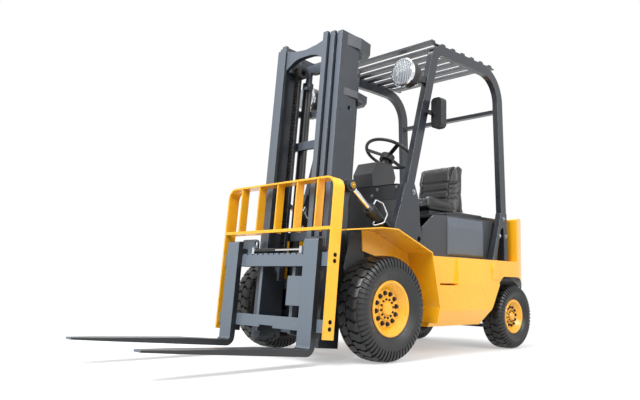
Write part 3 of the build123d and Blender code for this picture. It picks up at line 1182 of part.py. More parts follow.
# Overhead guard: two bent bars a side, gusset feet, forked rear legs, roof slats
front_path = [PILLAR_FOOT, (PILLAR_HEAD, guard_z), (ROOF_JOINT, guard_z)]
rear_path = [(ROOF_JOINT, guard_z)] + from_steer([(REAR_HEAD[0], guard_z - REAR_HEAD[1]), REAR_FOOT])
guard = bent_bar(front_path, GUARD_FRONT_R, GUARD_DEPTH, *GUARD_Y)
guard += bent_bar(rear_path, GUARD_REAR_R, GUARD_DEPTH, *GUARD_Y)
guard += side_prism(rounded(FOOT_SIDE, FOOT_ROUND), *GUARD_Y)
guard -= rod_y(FOOT_HOLE_R, *FOOT_HOLE, GUARD_Y[0] - OVER, GUARD_Y[1] + OVER)
guard += side_prism(rounded(from_steer(LEG_SIDE), LEG_ROUND), *GUARD_Y)
guard = both(guard)
rear_bar_x = [steer_x + x for x in REAR_BAR_X]
guard += block(*rear_bar_x, -GUARD_Y[0] - OVER, GUARD_Y[0] + OVER, *REAR_BAR_Z)
save("guard_frame", guard)

roof_rear = steer_x + ROOF_REAR
slat_step = (ROOF_FRONT - SLAT_W - roof_rear - ROOF_MARGIN) / (SLATS - 1)
slat_top = ROOF_Z + SLAT_T
slats = []
for i in range(SLATS):
    x = ROOF_FRONT - slat_step * i
    rear = x - SLAT_W
    slat_side = [(rear, ROOF_Z), (x, ROOF_Z), (x - SLAT_BEVEL, slat_top), (rear + SLAT_BEVEL, slat_top)]
    slats.append(side_prism(rounded(slat_side, {2: SLAT_R, 3: SLAT_R}), -SLAT_HALF, SLAT_HALF))
strip_top = ROOF_Z + STRIP_T
strip_side = [
    (roof_rear, ROOF_Z), (ROOF_FRONT + STRIP_FRONT[0], ROOF_Z), (ROOF_FRONT - STRIP_FRONT[1], strip_top),
    (roof_rear, strip_top),
]
slats.append(both(side_prism(strip_side, GUARD_Y[0], SLAT_HALF)))
save("roof_slats", total(slats))


def pillar_point(z):
    """Point on the front pillar's forward face at a height."""
    slope = (PILLAR_HEAD - PILLAR_FOOT[0]) / (guard_z - PILLAR_FOOT[1])
    return PILLAR_FOOT[0] + (z - PILLAR_FOOT[1]) * slope + GUARD_DEPTH / 2 * math.hypot(1, slope), z


# Lamps and mirror on the front pillars
bowl = [
    (0, LAMP_BACK), (LAMP_BACK_R, LAMP_BACK), (LAMP_R - LAMP_INSET, LAMP_WAIST), (LAMP_R, LAMP_EDGE),
    (LAMP_R, LAMP_FRONT), (0, LAMP_FRONT),
]
stalk_z = (LAMP_Z - STALK[0], LAMP_Z + STALK[0])
stalk = [(LAMP_BACK, z) for z in stalk_z] + [pillar_point(z) for z in stalk_z[::-1]]
lamp = turned_x(bowl, LAMP_Y, LAMP_Z) + side_prism(stalk, LAMP_Y - STALK[1], LAMP_Y + STALK[1])
save("work_lights", both(lamp))
lens_r = LAMP_R - LAMP_INSET
lens = [(0, LAMP_FRONT), (lens_r, LAMP_FRONT), (lens_r, LAMP_FRONT + LAMP_INSET)]
lens += [(LAMP_R - inset, LAMP_FRONT + rise) for inset, rise in LENS_DOME]
save("lamp_lenses", both(turned_x(lens, LAMP_Y, LAMP_Z)))
case = block(*MIRROR_X, *MIRROR_Y, *MIRROR_Z)
case = fillet(case.edges().filter_by(Axis.X), MIRROR_R)
case += block(*MIRROR_ARM_X, GUARD_Y[1], MIRROR_ARM_END, *MIRROR_ARM_Z)
save("mirror", case)
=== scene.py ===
import math

import bmesh
import bpy
from mathutils import Matrix, Vector


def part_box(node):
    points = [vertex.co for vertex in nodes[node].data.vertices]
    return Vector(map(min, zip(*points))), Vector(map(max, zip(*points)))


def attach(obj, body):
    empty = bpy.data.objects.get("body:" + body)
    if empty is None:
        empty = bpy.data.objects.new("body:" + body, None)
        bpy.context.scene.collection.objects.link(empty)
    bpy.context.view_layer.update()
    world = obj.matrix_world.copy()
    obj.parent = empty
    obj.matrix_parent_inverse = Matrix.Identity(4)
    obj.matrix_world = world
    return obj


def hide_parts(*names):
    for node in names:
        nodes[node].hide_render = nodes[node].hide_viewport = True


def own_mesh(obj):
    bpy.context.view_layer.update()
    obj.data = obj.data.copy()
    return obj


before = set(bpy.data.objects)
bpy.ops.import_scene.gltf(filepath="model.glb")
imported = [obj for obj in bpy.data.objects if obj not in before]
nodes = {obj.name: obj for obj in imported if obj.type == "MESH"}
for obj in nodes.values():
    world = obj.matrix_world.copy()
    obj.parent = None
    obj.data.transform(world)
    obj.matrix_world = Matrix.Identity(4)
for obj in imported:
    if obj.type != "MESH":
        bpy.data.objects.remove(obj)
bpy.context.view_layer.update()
print("frame loaded:", len(nodes), "nodes")

scene = bpy.context.scene
scene.view_settings.view_transform = "Standard"


# Small helpers

def linear(hexText):
    parts = [int(hexText[i:i + 2], 16) / 255 for i in (1, 3, 5)]
    return [c / 12.92 if c <= 0.04045 else ((c + 0.055) / 1.055) ** 2.4 for c in parts] + [1.0]


def perMm(millimetres):
    return 1000.0 / millimetres


def addNode(tree, kind, inputs=None, **settings):
    node = tree.nodes.new(kind)
    for name, value in settings.items():
        setattr(node, name, value)
    for socket, value in (inputs or {}).items():
        if isinstance(value, bpy.types.NodeSocket):
            tree.links.new(value, node.inputs[socket])
        else:
            node.inputs[socket].default_value = value
    return node


def meshPiece(name, mesh, material, smooth=True):
    mesh.materials.clear()
    mesh.materials.append(material)
    for face in mesh.polygons:
        face.use_smooth = smooth
    piece = bpy.data.objects.new(name, mesh)
    scene.collection.objects.link(piece)
    return piece


def meshFrom(name, build):
    shape = bmesh.new()
    build(shape)
    bmesh.ops.remove_doubles(shape, verts=shape.verts, dist=1e-6)
    bmesh.ops.recalc_face_normals(shape, faces=shape.faces)
    mesh = bpy.data.meshes.new(name)
    shape.to_mesh(mesh)
    shape.free()
    return mesh


def moved(mesh, matrix):
    mesh.transform(matrix)
    if matrix.determinant() < 0:
        mesh.flip_normals()
    return mesh


def boxCentre(node):
    low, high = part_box(node)
    return (Vector(low) + Vector(high)) / 2


def settle(piece, body):
    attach(piece, body)
    return piece


# Camera, from the photograph's own perspective

cameraSpot = {
    "place": (3.3858, 3.2743, 0.4944),
    "yaw": -133.79,
    "pitch": 7.14,
    "roll": 1.32,
    "focalPixels": 652.0,
    "imageWidth": 640.0,
}


def makeCamera(spot):
    yaw, pitch, roll = (math.radians(spot[k]) for k in ("yaw", "pitch", "roll"))
    ahead = Vector((math.cos(pitch) * math.cos(yaw), math.cos(pitch) * math.sin(yaw), math.sin(pitch)))
    level = Vector((math.sin(yaw), -math.cos(yaw), 0))
    above = level.cross(ahead)
    right = math.cos(roll) * level + math.sin(roll) * above
    up = math.cos(roll) * above - math.sin(roll) * level
    data = bpy.data.cameras.new("photoCamera")
    data.sensor_width = 36.0
    data.lens = spot["focalPixels"] / spot["imageWidth"] * data.sensor_width
    camera = bpy.data.objects.new("photoCamera", data)
    camera.matrix_world = Matrix((
        (right.x, up.x, -ahead.x, spot["place"][0]),
        (right.y, up.y, -ahead.y, spot["place"][1]),
        (right.z, up.z, -ahead.z, spot["place"][2]),
        (0, 0, 0, 1),
    ))
    scene.collection.objects.link(camera)
    scene.camera = camera


makeCamera(cameraSpot)
print("camera set")


# Floor, white surroundings and softboxes

studio = {
    "floorSize": 60.0,
    "floorColour": "#BDBDBD",
    "floorLift": 0.43,
    "shadowReach": (1.5, 3.2),
    "skyStrength": 0.34,
    "softboxes": [
        ("keyBox", (4.2, 1.2, 4.6), (0.2, 0.0, 0.9), 3.0, 400),
        ("sideBox", (-0.6, 5.2, 3.6), (-0.5, 0.0, 0.8), 3.2, 235),
        ("topBox", (-0.6, -0.4, 5.6), (-0.4, 0.0, 0.0), 3.0, 220),
        ("backBox", (-5.0, -2.6, 3.4), (-0.4, 0.0, 1.2), 2.6, 130),
    ],
}


def makeStudio(spec):
    world = bpy.data.worlds.new("whiteStudio")
    world.use_nodes = True
    scene.world = world
    tree = world.node_tree
    tree.nodes.clear()
    path = addNode(tree, "ShaderNodeLightPath")
    sharp = addNode(tree, "ShaderNodeMath", {0: path.outputs["Is Glossy Ray"],
                    1: path.outputs["Is Transmission Ray"]}, operation="MAXIMUM")
    seen = addNode(tree, "ShaderNodeMath", {0: path.outputs["Is Camera Ray"], 1: sharp.outputs[0]},
                   operation="MAXIMUM")
    lit = addNode(tree, "ShaderNodeBackground", {"Color": linear("#F6F8FB"), "Strength": spec["skyStrength"]})
    white = addNode(tree, "ShaderNodeBackground", {"Color": linear("#FFFFFF"), "Strength": 1.0})
    mix = addNode(tree, "ShaderNodeMixShader",
                  {0: seen.outputs[0], 1: lit.outputs[0], 2: white.outputs[0]})
    addNode(tree, "ShaderNodeOutputWorld", {"Surface": mix.outputs[0]})

    # A matt floor that is seen lifted to white, wholly so away from the truck: only the shadow is left on it
    paper = bpy.data.materials.new("paperFloor")
    paper.use_nodes = True
    tree = paper.node_tree
    tree.nodes.clear()
    path = addNode(tree, "ShaderNodeLightPath")
    sharp = addNode(tree, "ShaderNodeMath", {0: path.outputs["Is Glossy Ray"],
                    1: path.outputs["Is Transmission Ray"]}, operation="MAXIMUM")
    seen = addNode(tree, "ShaderNodeMath", {0: path.outputs["Is Camera Ray"], 1: sharp.outputs[0]},
                   operation="MAXIMUM")
    matt = addNode(tree, "ShaderNodeBsdfDiffuse", {"Color": linear(spec["floorColour"])})
    glow = addNode(tree, "ShaderNodeEmission", {"Color": linear("#FFFFFF"), "Strength": spec["floorLift"]})
    white = addNode(tree, "ShaderNodeEmission", {"Color": linear("#FFFFFF"), "Strength": 1.0})
    lifted = addNode(tree, "ShaderNodeAddShader", {0: matt.outputs[0], 1: glow.outputs[0]})
    spot = addNode(tree, "ShaderNodeTexCoord").outputs["Object"]
    reach = addNode(tree, "ShaderNodeVectorMath", {0: spot}, operation="LENGTH")
    near, far = spec["shadowReach"]
    fade = addNode(tree, "ShaderNodeMapRange",
                   {"Value": reach.outputs["Value"], "From Min": near, "From Max": far},
                   interpolation_type="SMOOTHSTEP")
    shown = addNode(tree, "ShaderNodeMixShader",
                    {0: fade.outputs["Result"], 1: lifted.outputs[0], 2: white.outputs[0]})
    mix = addNode(tree, "ShaderNodeMixShader", {0: seen.outputs[0], 1: matt.outputs[0], 2: shown.outputs[0]})
    addNode(tree, "ShaderNodeOutputMaterial", {"Surface": mix.outputs[0]})

    half = spec["floorSize"] / 2
    mesh = meshFrom("floor", lambda shape: bmesh.ops.create_grid(shape, x_segments=1, y_segments=1, size=half))
    floor = meshPiece("floor", mesh, paper, smooth=False)

    for name, place, target, size, power in spec["softboxes"]:
        lamp = bpy.data.lights.new(name, "AREA")
        lamp.shape = "SQUARE"
        lamp.size = size
        lamp.energy = power
        softbox = bpy.data.objects.new(name, lamp)
        softbox.location = place
        softbox.rotation_euler = (Vector(target) - Vector(place)).to_track_quat("-Z", "Y").to_euler()
        scene.collection.objects.link(softbox)


makeStudio(studio)
print("studio set")


# Materials

def blankMaterial(name, roughness, metallic=0.0, ior=1.5):
    material = bpy.data.materials.new(name)
    material.use_nodes = True
    tree = material.node_tree
    shader = tree.nodes["Principled BSDF"]
    shader.inputs["Roughness"].default_value = roughness
    shader.inputs["Metallic"].default_value = metallic
    shader.inputs["IOR"].default_value = ior
    spot = addNode(tree, "ShaderNodeTexCoord").outputs["Object"]
    return material, tree, shader, spot


def mottle(tree, spot, sizeMm, low, high, detail=3.0):
    noise = addNode(tree, "ShaderNodeTexNoise", {"Vector": spot, "Scale": perMm(sizeMm), "Detail": detail})
    spread = addNode(tree, "ShaderNodeMapRange", {
        "Value": noise.outputs["Fac"], "From Min": 0.3, "From Max": 0.7, "To Min": low, "To Max": high})
    return spread.outputs["Result"]


def tint(tree, factor, first, second):
    mix = addNode(tree, "ShaderNodeMix", data_type="RGBA")
    tree.links.new(factor, mix.inputs[0])
    for socket, colour in ((mix.inputs[6], first), (mix.inputs[7], second)):
        if isinstance(colour, bpy.types.NodeSocket):
            tree.links.new(colour, socket)
        else:
            socket.default_value = linear(colour)
    return mix.outputs[2]


def paintedSteel(name, spec):
    # Sprayed enamel on welded steel: faint orange peel, softened edges, a thin worn line on the corners
    material, tree, shader, spot = blankMaterial(name, spec["roughness"])
    edge = addNode(tree, "ShaderNodeBevel", {"Radius": spec["edgeMm"] / 1000}, samples=4)
    true = addNode(tree, "ShaderNodeNewGeometry")
    turn = addNode(tree, "ShaderNodeVectorMath",
                   {0: edge.outputs[0], 1: true.outputs["Normal"]}, operation="DOT_PRODUCT")
    rim = addNode(tree, "ShaderNodeMapRange",
                  {"Value": turn.outputs["Value"], "From Min": 0.99, "From Max": 0.80})
    patches = mottle(tree, spot, 60, 0.0, spec["wear"])
    worn = addNode(tree, "ShaderNodeMath", {0: rim.outputs["Result"], 1: patches}, operation="MULTIPLY")
    body = tint(tree, mottle(tree, spot, 420, 0.0, 1.0), spec["colour"], spec["shade"])
    if "front" in spec:
        # painted highlight: faces that look forward are made lighter, standing in for the reflection of the
        # front light
        facing = addNode(tree, "ShaderNodeSeparateXYZ", {0: true.outputs["Normal"]})
        ahead = addNode(tree, "ShaderNodeMapRange",
                        {"Value": facing.outputs["X"], "From Min": 0.55, "From Max": 0.8})
        body = tint(tree, ahead.outputs["Result"], body, spec["front"])
    coated = tint(tree, worn.outputs[0], body, spec["bare"])
    if "under" in spec:
        # painted shade: faces that look downward are darkened to near black, standing in for the shade on the
        # underside and inside the wheel arch
        facing = addNode(tree, "ShaderNodeSeparateXYZ", {0: true.outputs["Normal"]})
        underShadeMask = addNode(tree, "ShaderNodeMapRange",
                        {"Value": facing.outputs["Z"], "From Min": -0.25, "From Max": -0.45})
        coated = tint(tree, underShadeMask.outputs["Result"], coated, spec["under"])
    tree.links.new(coated, shader.inputs["Base Color"])
    tree.links.new(mottle(tree, spot, 90, spec["roughness"] - 0.05, spec["roughness"] + 0.07),
                   shader.inputs["Roughness"])
    peel = addNode(tree, "ShaderNodeTexNoise", {"Vector": spot, "Scale": perMm(spec["peelMm"]), "Detail": 2.0})
    bump = addNode(tree, "ShaderNodeBump", {"Height": peel.outputs["Fac"], "Normal": edge.outputs[0],
                   "Strength": spec["peel"], "Distance": 0.001})
    tree.links.new(bump.outputs[0], shader.inputs["Normal"])
    shader.inputs["Coat Weight"].default_value = spec["coat"]
    shader.inputs["Coat Roughness"].default_value = 0.12
    return material


def mouldedPlastic(name, spec):
    # Injection-moulded or spun plastic with a spark-eroded grain
    material, tree, shader, spot = blankMaterial(name, spec["roughness"], ior=1.49)
    edge = addNode(tree, "ShaderNodeBevel", {"Radius": spec["edgeMm"] / 1000}, samples=4)
    body = tint(tree, mottle(tree, spot, 300, 0.0, 1.0), spec["colour"], spec["shade"])
    tree.links.new(body, shader.inputs["Base Color"])
    tree.links.new(mottle(tree, spot, 40, spec["roughness"] - 0.06, spec["roughness"] + 0.06),
                   shader.inputs["Roughness"])
    grain = addNode(tree, "ShaderNodeTexVoronoi", {"Vector": spot, "Scale": perMm(spec["grainMm"])},
                    feature="SMOOTH_F1")
    bump = addNode(tree, "ShaderNodeBump", {"Height": grain.outputs["Distance"], "Normal": edge.outputs[0],
                   "Strength": spec["grain"], "Distance": 0.001})
    tree.links.new(bump.outputs[0], shader.inputs["Normal"])
    return material


def turnedMetal(name, spec):
    # Bare machined metal: fine tool marks, slightly uneven polish
    material, tree, shader, spot = blankMaterial(name, spec["roughness"], metallic=1.0)
    body = tint(tree, mottle(tree, spot, 35, 0.0, 1.0), spec["colour"], spec["shade"])
    tree.links.new(body, shader.inputs["Base Color"])
    tree.links.new(mottle(tree, spot, 12, spec["roughness"] * 0.7, spec["roughness"] * 1.4),
                   shader.inputs["Roughness"])
    marks = addNode(tree, "ShaderNodeTexNoise", {"Vector": spot, "Scale": perMm(1.5), "Detail": 2.0})
    bump = addNode(tree, "ShaderNodeBump", {"Height": marks.outputs["Fac"], "Strength": spec["marks"],
                   "Distance": 0.0004})
    tree.links.new(bump.outputs[0], shader.inputs["Normal"])
    return material


def tyreRubber(name, spec):
    # Vulcanised black rubber: matt, with a slight bloom mottled at random over it
    material, tree, shader, spot = blankMaterial(name, spec["roughness"], ior=1.52)
    body = tint(tree, mottle(tree, spot, 120, 0.0, 1.0, detail=5.0), spec["colour"], spec["bloom"])
    tree.links.new(body, shader.inputs["Base Color"])
    tree.links.new(mottle(tree, spot, 25, spec["roughness"] - 0.1, spec["roughness"] + 0.08),
                   shader.inputs["Roughness"])
    skin = addNode(tree, "ShaderNodeTexNoise", {"Vector": spot, "Scale": perMm(3.0), "Detail": 4.0})
    bump = addNode(tree, "ShaderNodeBump",
                   {"Height": skin.outputs["Fac"], "Strength": 0.12, "Distance": 0.001})
    tree.links.new(bump.outputs[0], shader.inputs["Normal"])
    return material


def seatVinyl(name, spec):
    # Calendered vinyl cloth with an embossed hide grain, drawn twice as coarse as life so that it shows
    material, tree, shader, spot = blankMaterial(name, spec["roughness"], ior=1.5)
    body = tint(tree, mottle(tree, spot, 80, 0.0, 1.0), spec["colour"], spec["shade"])
    tree.links.new(body, shader.inputs["Base Color"])
    tree.links.new(mottle(tree, spot, 30, spec["roughness"] - 0.06, spec["roughness"] + 0.08),
                   shader.inputs["Roughness"])
    hide = addNode(tree, "ShaderNodeTexVoronoi", {"Vector": spot, "Scale": perMm(spec["grainMm"])},
                   feature="DISTANCE_TO_EDGE")
    pores = addNode(tree, "ShaderNodeMapRange", {"Value": hide.outputs["Distance"], "From Max": 0.25})
    bump = addNode(tree, "ShaderNodeBump", {"Height": pores.outputs["Result"], "Strength": 0.22,
                   "Distance": 0.0012})
    tree.links.new(bump.outputs[0], shader.inputs["Normal"])
    return material


def lampGlass(name, spec):
    # Pressed glass over a bright reflector: upright flutes. The reflector behind is painted into the glass's
    # colour as flute bands of painted highlight and painted shade.
    material, tree, shader, spot = blankMaterial(name, 0.08, ior=1.5)
    density = perMm(spec["fluteMm"]) * math.tau / 20
    flutes = addNode(tree, "ShaderNodeTexWave",
                     {"Vector": spot, "Scale": density, "Distortion": 0.4, "Detail": 0.0},
                     wave_type="BANDS", bands_direction="Y")
    body = tint(tree, flutes.outputs["Fac"], spec["bright"], spec["dim"])
    tree.links.new(body, shader.inputs["Base Color"])
    bump = addNode(tree, "ShaderNodeBump",
                   {"Height": flutes.outputs["Fac"], "Strength": 0.8, "Distance": 0.004})
    tree.links.new(bump.outputs[0], shader.inputs["Normal"])
    shader.inputs["Coat Weight"].default_value = 1.0
    shader.inputs["Coat Roughness"].default_value = 0.03
    return material


finish = {
    "yellowEnamel": paintedSteel("yellowEnamel", {
        "colour": "#FBB71F", "shade": "#F7AF19", "bare": "#FFDC8C", "roughness": 0.30, "edgeMm": 4.0,
        "wear": 0.35, "peelMm": 2.4, "peel": 0.05, "coat": 0.55}),
    # counterweight paint: the yellow enamel with painted shade on faces that look downward
    "ballastYellow": paintedSteel("ballastYellow", {
        "colour": "#FBB71F", "shade": "#F7AF19", "bare": "#FFDC8C", "under": "#1B1B1A", "roughness": 0.32,
        "edgeMm": 8.0, "wear": 0.25, "peelMm": 3.2, "peel": 0.06, "coat": 0.5}),
    # front is a painted highlight on the mast's faces that look forward
    "mastGrey": paintedSteel("mastGrey", {
        "colour": "#2C3138", "shade": "#272C33", "bare": "#A3ABB4", "front": "#59616B", "roughness": 0.32,
        "edgeMm": 3.0, "wear": 0.7, "peelMm": 2.4, "peel": 0.06, "coat": 0.15}),
    "guardGrey": paintedSteel("guardGrey", {
        "colour": "#262B32", "shade": "#21252B", "bare": "#8A939D", "roughness": 0.30, "edgeMm": 6.0,
        "wear": 0.6, "peelMm": 2.4, "peel": 0.05, "coat": 0.25}),
    # front is a painted highlight on the carriage's faces that look forward
    "carriageGrey": paintedSteel("carriageGrey", {
        "colour": "#2B3037", "shade": "#262B31", "bare": "#A2ABB4", "front": "#69747F", "roughness": 0.36,
        "edgeMm": 3.0, "wear": 0.5, "peelMm": 2.6, "peel": 0.06, "coat": 0.15}),
    # front is a painted highlight on the forks' faces that look forward
    "forkBlack": paintedSteel("forkBlack", {
        "colour": "#17191C", "shade": "#1D2023", "bare": "#9AA3AC", "front": "#66717C", "roughness": 0.40,
        "edgeMm": 3.0, "wear": 0.5, "peelMm": 2.6, "peel": 0.08, "coat": 0.1}),
    "chassisBlack": paintedSteel("chassisBlack", {
        "colour": "#1A1C1F", "shade": "#202327", "bare": "#5B636C", "roughness": 0.42, "edgeMm": 3.0,
        "wear": 0.4, "peelMm": 2.4, "peel": 0.06, "coat": 0.15}),
    "castIron": paintedSteel("castIron", {
        "colour": "#24272A", "shade": "#2D3033", "bare": "#6B7177", "roughness": 0.55, "edgeMm": 4.0,
        "wear": 0.3, "peelMm": 4.0, "peel": 0.3, "coat": 0.0}),
    "hoodPlastic": mouldedPlastic("hoodPlastic", {
        "colour": "#3B3E42", "shade": "#35383C", "roughness": 0.40,
        "edgeMm": 8.0, "grainMm": 1.8, "grain": 0.10}),
    "panelPlastic": mouldedPlastic("panelPlastic", {
        "colour": "#5E656E", "shade": "#565D66", "roughness": 0.42,
        "edgeMm": 8.0, "grainMm": 1.8, "grain": 0.10}),
    "consolePlastic": mouldedPlastic("consolePlastic", {
        "colour": "#3A3B3D", "shade": "#343537", "roughness": 0.46,
        "edgeMm": 6.0, "grainMm": 1.8, "grain": 0.14}),
    "blackPlastic": mouldedPlastic("blackPlastic", {
        "colour": "#1B1C1E", "shade": "#212224", "roughness": 0.40,
        "edgeMm": 5.0, "grainMm": 1.5, "grain": 0.10}),
    "tyreRubber": tyreRubber("tyreRubber", {
        "colour": "#0E0F10", "bloom": "#16181A", "roughness": 0.44}),
    "seatVinyl": seatVinyl("seatVinyl", {
        "colour": "#232425", "shade": "#2B2B2B", "roughness": 0.36, "grainMm": 3.0}),
    "hardChrome": turnedMetal("hardChrome", {
        "colour": "#E3E5E8", "shade": "#D3D6DA", "roughness": 0.12, "marks": 0.05}),
    "chainSteel": turnedMetal("chainSteel", {
        "colour": "#4A4744", "shade": "#2F2D2B", "roughness": 0.42, "marks": 0.3}),
    "zincSteel": turnedMetal("zincSteel", {
        "colour": "#A4A8AD", "shade": "#878C92", "roughness": 0.32, "marks": 0.15}),
    "boltBlack": turnedMetal("boltBlack", {
        "colour": "#2A2C2F", "shade": "#1C1D1F", "roughness": 0.38, "marks": 0.2}),
    "pinBrass": turnedMetal("pinBrass", {
        "colour": "#C79A45", "shade": "#A97E33", "roughness": 0.26, "marks": 0.2}),
    # bright and dim are the painted highlight and painted shade of the lens flutes
    "lampGlass": lampGlass("lampGlass", {"bright": "#A9AFB5", "dim": "#565C62", "fluteMm": 14.0}),
}

nodeFinish = {
    "yellowEnamel": ["chassis_frame", "fenders", "load_backrest", "drive_rim_left",
                     "drive_rim_right", "steer_rim_left", "steer_rim_right"],
    "ballastYellow": ["counterweight"],
    "mastGrey": ["mast_outer", "mast_middle", "mast_inner"],
    "guardGrey": ["guard_frame", "roof_slats"],
    "carriageGrey": ["carriage_frame"],
    "forkBlack": ["fork_left", "fork_right"],
    "chassisBlack": ["bulkhead", "floor_plate", "lift_barrels", "tilt_barrels", "pedals", "seat_lid",
                     "seat_pan", "radiator_grille"],
    "castIron": ["drive_axle", "steer_axle", "knuckle_left", "knuckle_right", "engine_block", "chain_sheaves"],
    "hoodPlastic": ["hood"],
    "panelPlastic": ["hood_panels"],
    "consolePlastic": ["console"],
    "blackPlastic": ["steering_column", "steering_wheel", "levers", "mirror", "work_lights"],
    "tyreRubber": ["drive_tyre_left", "drive_tyre_right", "steer_tyre_left", "steer_tyre_right"],
    "seatVinyl": ["seat_cushion", "seat_back"],
    "hardChrome": ["lift_rods", "tilt_rods", "shift_rod"],
    "chainSteel": ["lift_chains"],
    "zincSteel": ["tilt_pipes"],
    "lampGlass": ["lamp_lenses"],
}


def dressNodes(table):
    for material, names in table.items():
        for name in names:
            mesh = nodes[name].data
            mesh.materials.clear()
            mesh.materials.append(finish[material])


dressNodes(nodeFinish)
print("materials:", len(finish))


# Geometry Nodes: a ring of copies about the Y axis, a row of copies, and copies at chosen points

def newTree(name, sockets):
    tree = bpy.data.node_groups.new(name, "GeometryNodeTree")
    tree.interface.new_socket("Geometry", in_out="OUTPUT", socket_type="NodeSocketGeometry")
    tree.interface.new_socket("Geometry", in_out="INPUT", socket_type="NodeSocketGeometry")
    keys = {}
    for label, kind in sockets:
        keys[label] = tree.interface.new_socket(label, in_out="INPUT", socket_type=kind).identifier
    return tree, keys


def closeTree(tree, source, points, turn, size):
    shape = addNode(tree, "GeometryNodeObjectInfo", {"Object": source.outputs["Shape"]})
    copies = addNode(tree, "GeometryNodeInstanceOnPoints", {
        "Points": points, "Instance": shape.outputs["Geometry"], "Rotation": turn, "Scale": size})
    solid = addNode(tree, "GeometryNodeRealizeInstances", {"Geometry": copies.outputs[0]})
    painted = addNode(tree, "GeometryNodeSetMaterial",
                      {"Geometry": solid.outputs[0], "Material": source.outputs["Material"]})
    addNode(tree, "NodeGroupOutput", {0: painted.outputs[0]})


def ringTree():
    tree, keys = newTree("ringOfCopies", [
        ("Shape", "NodeSocketObject"), ("Count", "NodeSocketInt"), ("Start", "NodeSocketFloat"),
        ("Centre", "NodeSocketVector"), ("Material", "NodeSocketMaterial")])
    source = addNode(tree, "NodeGroupInput")
    line = addNode(tree, "GeometryNodeMeshLine", {"Count": source.outputs["Count"],
                   "Start Location": source.outputs["Centre"], "Offset": (0, 0, 0)}, mode="OFFSET")
    step = addNode(tree, "ShaderNodeMath", {0: math.tau, 1: source.outputs["Count"]}, operation="DIVIDE")
    index = addNode(tree, "GeometryNodeInputIndex")
    angle = addNode(tree, "ShaderNodeMath",
                    {0: index.outputs[0], 1: step.outputs[0], 2: source.outputs["Start"]},
                    operation="MULTIPLY_ADD")
    turn = addNode(tree, "ShaderNodeCombineXYZ", {"Y": angle.outputs[0]})
    closeTree(tree, source, line.outputs[0], turn.outputs[0], (1, 1, 1))
    return tree, keys


def rowTree():
    tree, keys = newTree("rowOfCopies", [
        ("Shape", "NodeSocketObject"), ("Count", "NodeSocketInt"), ("First", "NodeSocketVector"),
        ("Step", "NodeSocketVector"), ("Turn", "NodeSocketVector"), ("Material", "NodeSocketMaterial")])
    source = addNode(tree, "NodeGroupInput")
    line = addNode(tree, "GeometryNodeMeshLine", {"Count": source.outputs["Count"],
                   "Start Location": source.outputs["First"], "Offset": source.outputs["Step"]}, mode="OFFSET")
    closeTree(tree, source, line.outputs[0], source.outputs["Turn"], (1, 1, 1))
    return tree, keys


def pointTree():
    tree, keys = newTree("copiesAtPoints", [
        ("Shape", "NodeSocketObject"), ("Size", "NodeSocketFloat"), ("Material", "NodeSocketMaterial")])
    source = addNode(tree, "NodeGroupInput")
    facing = addNode(tree, "GeometryNodeInputNamedAttribute", {"Name": "facing"}, data_type="FLOAT_VECTOR")
    turn = addNode(tree, "FunctionNodeAlignRotationToVector", {"Vector": facing.outputs[0]}, axis="Z")
    closeTree(tree, source, source.outputs["Geometry"], turn.outputs[0], source.outputs["Size"])
    return tree, keys


trees = {"ring": ringTree(), "row": rowTree(), "points": pointTree()}


def grow(name, kind, shapeMesh, values, material, points=None):
    tree, keys = trees[kind]
    shape = bpy.data.objects.new(name + "Shape", shapeMesh)
    scene.collection.objects.link(shape)
    carrier = bpy.data.objects.new(name + "Carrier", points or bpy.data.meshes.new(name + "Carrier"))
    scene.collection.objects.link(carrier)
    modifier = carrier.modifiers.new("copies", "NODES")
    modifier.node_group = tree
    modifier[keys["Shape"]] = shape
    modifier[keys["Material"]] = material
    for label, value in values.items():
        modifier[keys[label]] = value
    view = bpy.context.evaluated_depsgraph_get()
    view.update()
    mesh = bpy.data.meshes.new_from_object(carrier.evaluated_get(view), depsgraph=view)
    carrier.modifiers.remove(modifier)
    bpy.data.objects.remove(carrier)
    bpy.data.objects.remove(shape)
    mesh.name = name
    return mesh


def pointMesh(name, spots):
    # each spot is a place and the way its outer end faces
    mesh = bpy.data.meshes.new(name)
    mesh.from_pydata([place for place, way in spots], [], [])
    facing = mesh.attributes.new("facing", "FLOAT_VECTOR", "POINT")
    for item, (place, way) in zip(facing.data, spots):
        item.vector = way
    return mesh


def joined(name, meshes):
    shape = bmesh.new()
    for mesh in meshes:
        shape.from_mesh(mesh)
    whole = bpy.data.meshes.new(name)
    shape.to_mesh(whole)
    shape.free()
    return whole


print("geometry trees:", len(trees))


# Fasteners

def hexBolt(across, height, washer=1.9):
    # chamfered hexagon head on a plain washer, standing on Z
    def build(shape):
        rings = []
        for count, radius, z in (
            (24, across * washer / 2, 0.0), (24, across * washer / 2, height * 0.22),
            (24, across * 0.62, height * 0.26)):
            rings.append([shape.verts.new((radius * math.cos(math.tau * i / count),
                          radius * math.sin(math.tau * i / count), z)) for i in range(count)])
        for low, high in zip(rings, rings[1:]):
            for i in range(24):
                shape.faces.new((low[i], low[(i + 1) % 24], high[(i + 1) % 24], high[i]))
        shape.faces.new(rings[-1])
        hexes = []
        for radius, z in (
            (across * 0.577, height * 0.2), (across * 0.577, height * 0.88), (across * 0.48, height)):
            hexes.append([shape.verts.new((radius * math.cos(math.tau * i / 6),
                          radius * math.sin(math.tau * i / 6), z)) for i in range(6)])
        for low, high in zip(hexes, hexes[1:]):
            for i in range(6):
                shape.faces.new((low[i], low[(i + 1) % 6], high[(i + 1) % 6], high[i]))
        shape.faces.new(hexes[-1])
    return meshFrom("hexBolt", build)


# Wheels: tread blocks in the tyre's own frame, outer face at +Y, axle along Y

